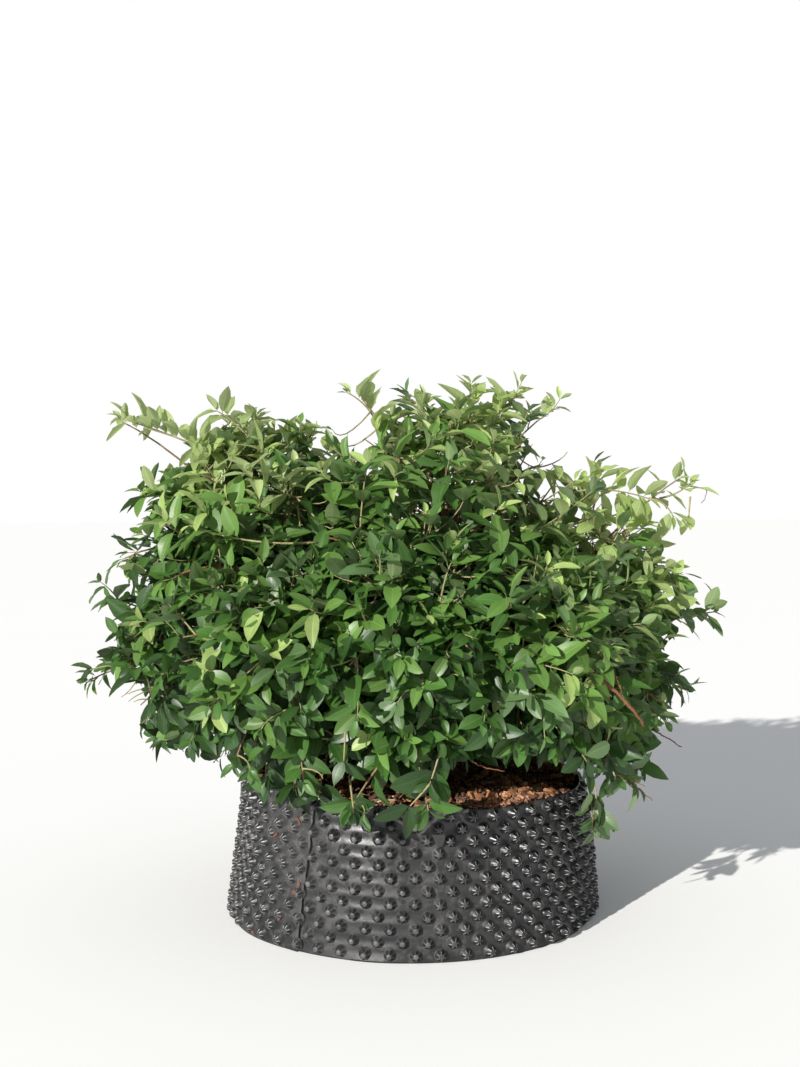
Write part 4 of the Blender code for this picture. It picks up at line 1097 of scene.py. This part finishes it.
def kindOf(tips, draw):
    # a colour for each spray from a score of the light it gets, painted light and shade: deep low down and inside,
    # paler towards the top and the right, and some sprays of painted sheen
    x, z = tips[:, 0], tips[:, 2]
    sun = 0.9 * (z - 0.45) / 0.35 + 1.5 * smoothStep(0.12, 0.34, x) * smoothStep(0.54, 0.68, z)
    sun = sun + 0.70 * smoothStep(0.10, 0.38, x) * (0.6 + 0.4 * smoothStep(0.38, 0.55, z))
    sun = sun + 1.4 * (depthIn(tips) - 0.88) - 0.2 * (1 - smoothStep(0.30, 0.42, z))
    sun = sun + 0.28 * smoothStep(0.58, 0.74, z) + 0.32 * smoothStep(0.06, 0.20, x)
    sun = sun + 0.45 * smoothStep(0.71, 0.79, z)
    sun = sun + draw.normal(0, 0.52, len(tips))
    kind = np.digitize(sun, (-0.08, 0.72, 1.42))
    kind = np.where(z < 0.43, np.minimum(kind, 2), kind)
    kind = np.where((kind > 0) & (draw.uniform(0, 1, len(tips)) < 0.17), 4, kind)
    kind = np.where((kind == 3) & (x < 0.10) & (draw.uniform(0, 1, len(tips)) < 0.7), 5, kind)
    kind = np.where((kind == 3) & (z < 0.72 - 0.13 * smoothStep(0.15, 0.30, x)), 2, kind)
    return np.where(draw.uniform(0, 1, len(tips)) < 0.32 * smoothStep(0.60, 0.78, z), 5, kind)


def leafFinish(name, top, under, through):
    # a leaf: a pale midrib where the map's middle is, side veins that run forward from it,
    # mottling by noise and each leaf's own tone; the underside is paler and duller, and the
    # veins lie a little deeper than the blade
    made = Finish("leaf" + name, IOR=1.45)
    across, along = made.surface()
    side = abs(across * 2 - 1)
    tone = made.add("ShaderNodeAttribute", {"attribute_name": "tone"}, output="Fac")
    midrib = 1 - side.between(0.01, 0.10)
    ribs = ((along * 9 - side * 2.6) * (2 * math.pi)).sine().between(0.72, 1.0) * (1 - side.between(0.6, 1.0))
    veins = (midrib * 0.42 + ribs * 0.14).clamped()
    mottle = made.noise(made.place(), 70.0, 3.0)
    shade = (tone * 0.8 + mottle * 0.5 - 0.12).clamped()
    upper = made.mix(shade, tuple(c * 0.60 for c in top), tuple(c * 1.34 for c in top))
    upper = made.mix(veins, upper, tuple(min(1.0, c * 1.9 + 0.02) for c in top))
    lower = made.mix(shade, tuple(c * 0.62 for c in under), tuple(c * 1.10 for c in under))
    lower = made.mix((veins * 1.3).clamped(), lower, tuple(min(1.0, c * 1.7) for c in under))
    back = made.add("ShaderNodeNewGeometry", output="Backfacing")
    made.feed(Base_Color=made.mix(back, upper, lower),
              Roughness=(0.31 + mottle * 0.16 + back * 0.20).clamped(),
              Normal=made.bump(1 - veins, 0.4, 0.0006))
    made.letThrough((*tuple(min(1.0, c * 2.6 + 0.03) for c in top), 1.0), through)
    return made.material


def barkFinish(name, dark, light, strand):
    # fibrous bark: noise drawn out along the limb by its map, darker in its hollows
    made = Finish(name, Roughness=0.85)
    across, along = made.surface()
    place = made.add("ShaderNodeCombineXYZ", {}, {0: across * 6, 1: along * strand, 2: made.noise(made.place(), 40.0)})
    fibre = made.noise(place, 3.0, 6.0, 0.65)
    patch = made.noise(made.place(), 45.0, 3.0)
    colour = made.mix((fibre * 1.3 - 0.15).clamped(), dark, light)
    colour = made.mix(patch.between(0.5, 0.75) * 0.4, colour, tuple(c * 1.6 for c in light))
    made.feed(Base_Color=colour, Normal=made.bump(fibre, 0.8, 0.0015))
    return made.material


# Trunk and boughs with the bark's relief

limbs = {
    "stemFoot": 0.031, "stemNeck": 0.019, "stemHeadRadius": 0.023, "stemTop": 0.8,
    "flareLobes": 5, "flareDepth": 0.005, "footHeight": 0.2118,
    "boughBase": 0.0082, "boughTip": 0.0048, "relief": 0.10, "strands": 7,
}


def barkRelief(along, around, seed):
    # ridges that run along a limb and wander, broken up by shorter ones
    wander = 0.6 * np.sin(23 * along + seed) + 0.4 * np.sin(61 * along + 2 * seed)
    ridge = np.abs(np.sin(limbs["strands"] * around / 2 + wander)) ** 0.7
    fine = np.sin(11 * around + 90 * along + seed) * np.sin(140 * along + 3 * around)
    return 1 + limbs["relief"] * (ridge - 0.6) + 0.04 * fine


def buildTrunk(finish):
    # rings from the flat foot to the head: flared lobes below, a neck, and a swollen head
    rings, sides = 70, 72
    part = np.linspace(0, 1, rings)
    head = np.array(crown["stemHead"])
    top = head[2] + limbs["stemHeadRadius"] * limbs["stemTop"]
    flare = (1 - part) ** 3
    swell = np.sin(math.pi * part ** 2)
    radius = limbs["stemNeck"] + (limbs["stemFoot"] - limbs["stemNeck"]) * flare
    radius = radius + (limbs["stemHeadRadius"] - limbs["stemNeck"]) * swell
    radius = radius * np.sqrt(np.clip(1 - ((part - 0.86) / 0.15).clip(0) ** 2, 0.05, 1))
    path = np.stack([head[0] * part, head[1] * part, limbs["footHeight"] + (top - limbs["footHeight"]) * part], -1)
    around = 2 * math.pi * np.arange(sides) / sides
    lobes = 1 + (limbs["flareDepth"] / radius * flare)[:, None] * np.cos(limbs["flareLobes"] * around)
    ripple = lobes * barkRelief(part[:, None] * 0.08, around[None], 1.0)
    points, quads, fans, uv = tubes(path[None], radius[None], sides, ripple[None])
    return addPiece("trunk", points, quads, fans, uv=uv, finish=finish)


def boughPaths(rings):
    # cubic curves from the middle of the stem's head, out along each stub, to each mass's centre
    paths = []
    t = np.linspace(0, 1, rings)[:, None]
    for mass in masses:
        cap, out = boughStart(mass)
        entry, way = massEntry(mass)
        span = np.linalg.norm(entry - cap) / 3
        curve = ((1 - t) ** 3 * cap + 3 * t * (1 - t) ** 2 * (cap + out * span)
                 + 3 * t * t * (1 - t) * (entry - way * span) + t ** 3 * entry)
        root = np.array(crown["stemHead"]) + out * np.linspace(0.004, crown["stubLength"] * 0.95, 10)[:, None]
        inside = entry + (np.array(masses[mass][0]) - entry) * np.linspace(0.06, 1, 12)[:, None]
        paths.append(np.concatenate([root, curve, inside]))
    return np.array(paths)


def buildBoughs(finish):
    paths = boughPaths(50)
    count, rings, _ = paths.shape
    sides = 20
    part = np.linspace(0, 1, rings)
    radius = np.interp(part, (0, 0.12, 0.8, 1), (0.0092, limbs["boughBase"], limbs["boughTip"], 0.0032))
    around = 2 * math.pi * np.arange(sides) / sides
    seeds = np.arange(count)[:, None, None] * 1.7
    ripple = barkRelief(part[None, :, None] * 0.35, around[None, None], seeds)
    points, quads, fans, uv = tubes(paths, np.repeat(radius[None], count, 0), sides, ripple)
    return addPiece("boughs", points, quads, fans, uv=uv, finish=finish)


# Twigs and leaves of each mass

def growMass(mass, number):
    # the twigs of one mass and the place, direction, face, length and colour of its leaves
    draw = np.random.default_rng(crown["seed"] + number)
    centre = np.array(masses[mass][0])
    trunks, starts, ends, shortOnes = fineShoots(mass, draw)
    controls = bendOf(starts, ends, centre, draw)
    place, way, turn, pair, shoot = leafPlaces(starts, controls, ends, shoots["pairs"], shoots["spacing"], draw)
    kept = ~seenIn(soilGaps, place) | (place[:, 1] > 0.06)
    place, way, turn, pair, shoot = [v[kept] for v in (place, way, turn, pair, shoot)]
    kind = kindOf(ends, draw)[shoot]
    longOnes = trunks[shortOnes:]
    if len(longOnes):
        bends = longOnes[:, 4] * 2 - (longOnes[:, 0] + longOnes[:, -1]) / 2
        more = leafPlaces(longOnes[:, 0], bends, longOnes[:, -1], shoots["longPairs"], shoots["longSpacing"], draw)
        bareOne, barePairs = bareShoots.get(mass, (-1, 0))
        kept = (more[4] != bareOne) | (more[3] < barePairs)
        more = [v[kept] for v in more]
        moreKind = np.maximum(kindOf(longOnes[:, -1], draw), 1)[more[4]]
        place, way, turn, pair = (np.concatenate(v) for v in zip((place, way, turn, pair), more[:4]))
        kind = np.concatenate([kind, moreKind])
    fine = bentPaths(starts, controls, ends, shoots["rings"])
    return trunks, fine, leafSet(place, way, turn, pair, kind, centre, draw)


def leafSet(place, way, turn, pair, kind, centre, draw, scale=1.0):
    # the leaves of these places, less those that would leave the part's box, touch the pot or
    # close a gap that shows sky
    leafWay, face, size = sproutLeaves(place, way, turn, pair, centre, draw)
    size = size * scale
    high = smoothStep(0.27, 0.37, place[:, 2]) * 0.5 + smoothStep(0.36, 0.56, place[:, 2]) * 0.2
    fresher = draw.uniform(0, 1, len(kind)) < high
    kind = np.where((pair <= 1) & (kind < 3), kind + fresher, kind)
    tip, middle = place + leafWay * size[:, None], place + leafWay * size[:, None] / 2
    low, high = np.array(cadBox[0]) - 0.012, np.array(cadBox[1]) + 0.012
    kept = clearOfPot(tip, leaves["potClearance"]) & clearOfPot(middle, leaves["potClearance"])
    kept &= ((tip > low) & (tip < high)).all(axis=1) & (depthIn(place) > crown["hiddenPart"] * 0.8)
    kept &= ~(seenIn(skyGaps, middle) | seenIn(skyGaps, tip))
    return [v[kept] for v in (place, leafWay, face, size, kind)]


def growSingles():
    # the single shoots and their leaves
    draw = np.random.default_rng(60)
    starts, bends, ends = (np.array([shoot[i] for shoot in singles]) for i in range(3))
    pairs, sizes = (np.array([shoot[i] for shoot in singles]) for i in (3, 4))
    places = leafPlaces(starts, bends, ends, pairs.max(), shoots["singleSpacing"], draw)
    kept = places[3] < pairs[places[4]]
    place, way, turn, pair, shoot = [v[kept] for v in places]
    # low singles take the darkest kind, painted shade; high ones at least the fresh kind, painted light
    kind = np.where(ends[:, 2] > 0.45, np.maximum(kindOf(ends, draw), 2), 0)[shoot]
    centre = np.array(crown["centre"])
    return bentPaths(starts, bends, ends, 12), leafSet(place, way, turn, pair, kind, centre, draw, sizes[shoot])


def buildBareStems(finish):
    # stems that have lost their leaves, each a tapering tube with knots
    starts, bends, ends = (np.array([stem[i] for stem in bareStems]) for i in range(3))
    paths = bentPaths(starts, bends, ends, 24)
    draw = np.random.default_rng(61)
    paths = paths + draw.normal(0, 0.0006, paths.shape)
    thick = np.array([stem[3] for stem in bareStems])[:, None]
    radii = thick * np.linspace(1.0, 0.55, 24)[None] * draw.uniform(0.85, 1.2, (len(paths), 24))
    points, quads, fans, uv = tubes(paths, radii, 8)
    return addPiece("bareStems", points, quads, fans, uv=uv, finish=finish)


def buildTwigs(name, paths, foot, tip, sides, finish):
    # one tapering tube along each path
    radii = np.repeat(np.linspace(foot, tip, paths.shape[1])[None], len(paths), 0)
    points, quads, fans, uv = tubes(paths, radii, sides)
    return addPiece(name, points, quads, fans, uv=uv, finish=finish)


def buildLeaves(grown, finishes):
    # all the leaves of each colour, joined into pieces of a few thousand leaves
    draw = np.random.default_rng(90)
    place, way, face, size, kind = (np.concatenate(v) for v in zip(*grown))
    uv, quads, fan = leafMap()
    stride = len(uv)
    made = []
    for number, name in enumerate(kindNames):
        chosen = np.flatnonzero(kind == number)
        parts = math.ceil(len(chosen) / leaves["perPiece"])
        for index, group in enumerate(np.array_split(chosen, max(parts, 1))):
            points = leafSurface(place[group], way[group], face[group], size[group], draw)
            tone = np.repeat(draw.uniform(0, 1, len(group)), stride)
            label = "leaves" + name + ("" if parts == 1 else "ABCDEF"[index])
            made.append(addPiece(label, points.reshape(-1, 3), repeatFaces(quads, stride, len(group)),
                                 repeatFaces(fan, stride, len(group)), uv=np.tile(uv, (len(group), 1)),
                                 tone=tone, finish=finishes[name]))
            print(label, len(group), "leaves")
    return made


# Floor, light and camera

studio = {
    "floorSize": 30.0, "backdrop": (0.90, 0.90, 0.90), "fill": 0.41,
    "sunWay": (0.55, 0.75, -0.37), "sunStrength": 5.8, "sunAngle": 0.7,
}
photo = {
    "width": 800, "height": 1067,     # pixels
    "focalPixels": 1450,
    "place": (-0.018, -2.28, 0.699),
    "pitch": 2.8, "roll": 0.3,        # degrees: below the horizon, and round the line of sight
}


def buildFloor():
    # a flat pale grid with a very faint mottling
    made = Finish("paleFloor", Roughness=0.8)
    patch = made.noise(made.place(), 1.5, 2.0)
    made.feed(Base_Color=made.mix(patch, (0.955, 0.955, 0.955), (0.975, 0.975, 0.975)))
    side = np.linspace(-0.5, 0.5, 21) * studio["floorSize"]
    x, y = np.meshgrid(side, side)
    points = np.stack([x, y, 0 * x - 0.0004], -1).reshape(-1, 3)
    return addPiece("floor", points, gridQuads(21, 21), finish=made.material)


def buildLight():
    world = bpy.data.worlds.new("studio")
    world.use_nodes = True
    nodes, links = world.node_tree.nodes, world.node_tree.links
    fill = nodes["Background"]
    fill.inputs[0].default_value = (0.93, 0.96, 1.0, 1.0)
    fill.inputs[1].default_value = studio["fill"]
    seen = nodes.new("ShaderNodeBackground")
    seen.inputs[0].default_value = (1, 1, 1, 1)
    seen.inputs[1].default_value = 1.0
    path, mix = nodes.new("ShaderNodeLightPath"), nodes.new("ShaderNodeMixShader")
    links.new(path.outputs["Is Camera Ray"], mix.inputs[0])
    links.new(fill.outputs[0], mix.inputs[1])
    links.new(seen.outputs[0], mix.inputs[2])
    links.new(mix.outputs[0], nodes["World Output"].inputs[0])
    bpy.context.scene.world = world
    lamp = bpy.data.lights.new("key", "SUN")
    lamp.energy = studio["sunStrength"]
    lamp.angle = math.radians(studio["sunAngle"])
    lamp.color = (1.0, 0.975, 0.93)
    key = bpy.data.objects.new("key", lamp)
    way = unit(np.array(studio["sunWay"]))
    key.rotation_euler = (math.acos(-way[2]), 0, math.atan2(way[1], way[0]) - math.pi / 2)
    bpy.context.scene.collection.objects.link(key)


def buildCamera():
    lens = bpy.data.cameras.new("camera")
    lens.sensor_width = 36.0
    lens.lens = 36.0 * photo["focalPixels"] / photo["height"]
    camera = bpy.data.objects.new("camera", lens)
    camera.location = photo["place"]
    camera.rotation_euler = (math.radians(90 - photo["pitch"]), math.radians(photo["roll"]), 0)
    bpy.context.scene.collection.objects.link(camera)
    bpy.context.scene.camera = camera


def carry(piece, slotName, *nodes):
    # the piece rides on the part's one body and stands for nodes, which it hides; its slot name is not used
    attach(piece, "root")
    if nodes:
        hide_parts(*nodes)


buildCamera()
buildLight()
buildFloor()
bpy.context.scene.view_settings.view_transform = "Standard"
print("studio ready")

plastic = plasticFinish("blackPlastic", False)
carry(buildPotSheet(plastic), "black_plastic", "pot")
carry(buildStuds(plasticFinish("studPlastic", True)), "black_plastic", "pot")
carry(buildPotFloor(plastic), "black_plastic", "pot")
# the seam's near-black tube: painted shade in the gap
carry(buildSeamShade(Finish("paintedSeamShade", Base_Color=(0.002, 0.002, 0.002, 1.0), Roughness=0.9).material),
      "black_plastic", "pot")
print("pot ready")

carry(buildSoil(compostFinish()), "bark_mulch", "soil")
chipColours = {  # dark and light side of each kind of chip
    "Red": ((0.12, 0.040, 0.016), (0.50, 0.23, 0.095)),
    "Dark": ((0.030, 0.016, 0.010), (0.20, 0.10, 0.05)),
    # the chips of the bright patches at the front: paler bark, and painted light where the sun reaches the soil
    "Fresh": ((0.16, 0.048, 0.018), (0.60, 0.34, 0.21)),
}
for number, (name, colours) in enumerate(chipColours.items()):
    draw = np.random.default_rng(51 + number)
    x, y = brightPatchSpots(draw) if name == "Fresh" else chipSpots(chips["count"], draw)
    long = chips["brightPatchLong"] if name == "Fresh" else chips["long"]
    carry(buildChips("barkChips" + name, x, y, long, draw, chipFinish("chip" + name, *colours)),
          "bark_mulch", "soil")
dryBark = barkFinish("dryBark", (0.22, 0.13, 0.075), (0.60, 0.48, 0.33), 90.0)
carry(buildLitter(dryBark), "bark_mulch", "soil")
carry(buildFlakes(chipFinish("chipStuck", (0.050, 0.016, 0.009), (0.19, 0.072, 0.036))), "bark_mulch", "soil")
print("soil ready")

bark = barkFinish("bark", (0.045, 0.028, 0.018), (0.23, 0.155, 0.095), 60.0)
twigBark = barkFinish("twigBark", (0.12, 0.065, 0.032), (0.33, 0.24, 0.13), 90.0)
youngBark = barkFinish("youngBark", (0.20, 0.17, 0.075), (0.42, 0.37, 0.19), 90.0)
carry(buildTrunk(bark), "bark", "main_stem")
carry(buildBoughs(bark), "bark", *["bough_" + mass for mass in masses])
print("limbs ready")

singlePaths, singleLeaves = growSingles()
carry(buildTwigs("twigs_single", singlePaths, 0.0018, 0.0009, 7, youngBark), "bark", "foliage_front_middle")
deadBark = barkFinish("deadBark", (0.075, 0.024, 0.012), (0.27, 0.115, 0.055), 90.0)
carry(buildBareStems(deadBark), "bark", "foliage_front_right")
grown = [singleLeaves]
for number, mass in enumerate(masses):
    trunks, fine, itsLeaves = growMass(mass, number)
    carry(buildTwigs("twigs_" + mass, trunks, shoots["twigFoot"], shoots["twigTip"], 7, twigBark),
          "bark", "foliage_" + mass)
    carry(buildTwigs("shoots_" + mass, fine, shoots["footRadius"], shoots["tipRadius"], shoots["sides"],
                     youngBark), "bark", "foliage_" + mass)
    grown.append(itsLeaves)
    print(mass, len(fine), "shoots", len(itsLeaves[0]), "leaves")
finishes = {name: leafFinish(name, *values) for name, values in leafKinds.items()}
for piece in buildLeaves(grown, finishes):
    carry(piece, "leaves", *["foliage_" + mass for mass in masses])
print("crown ready")
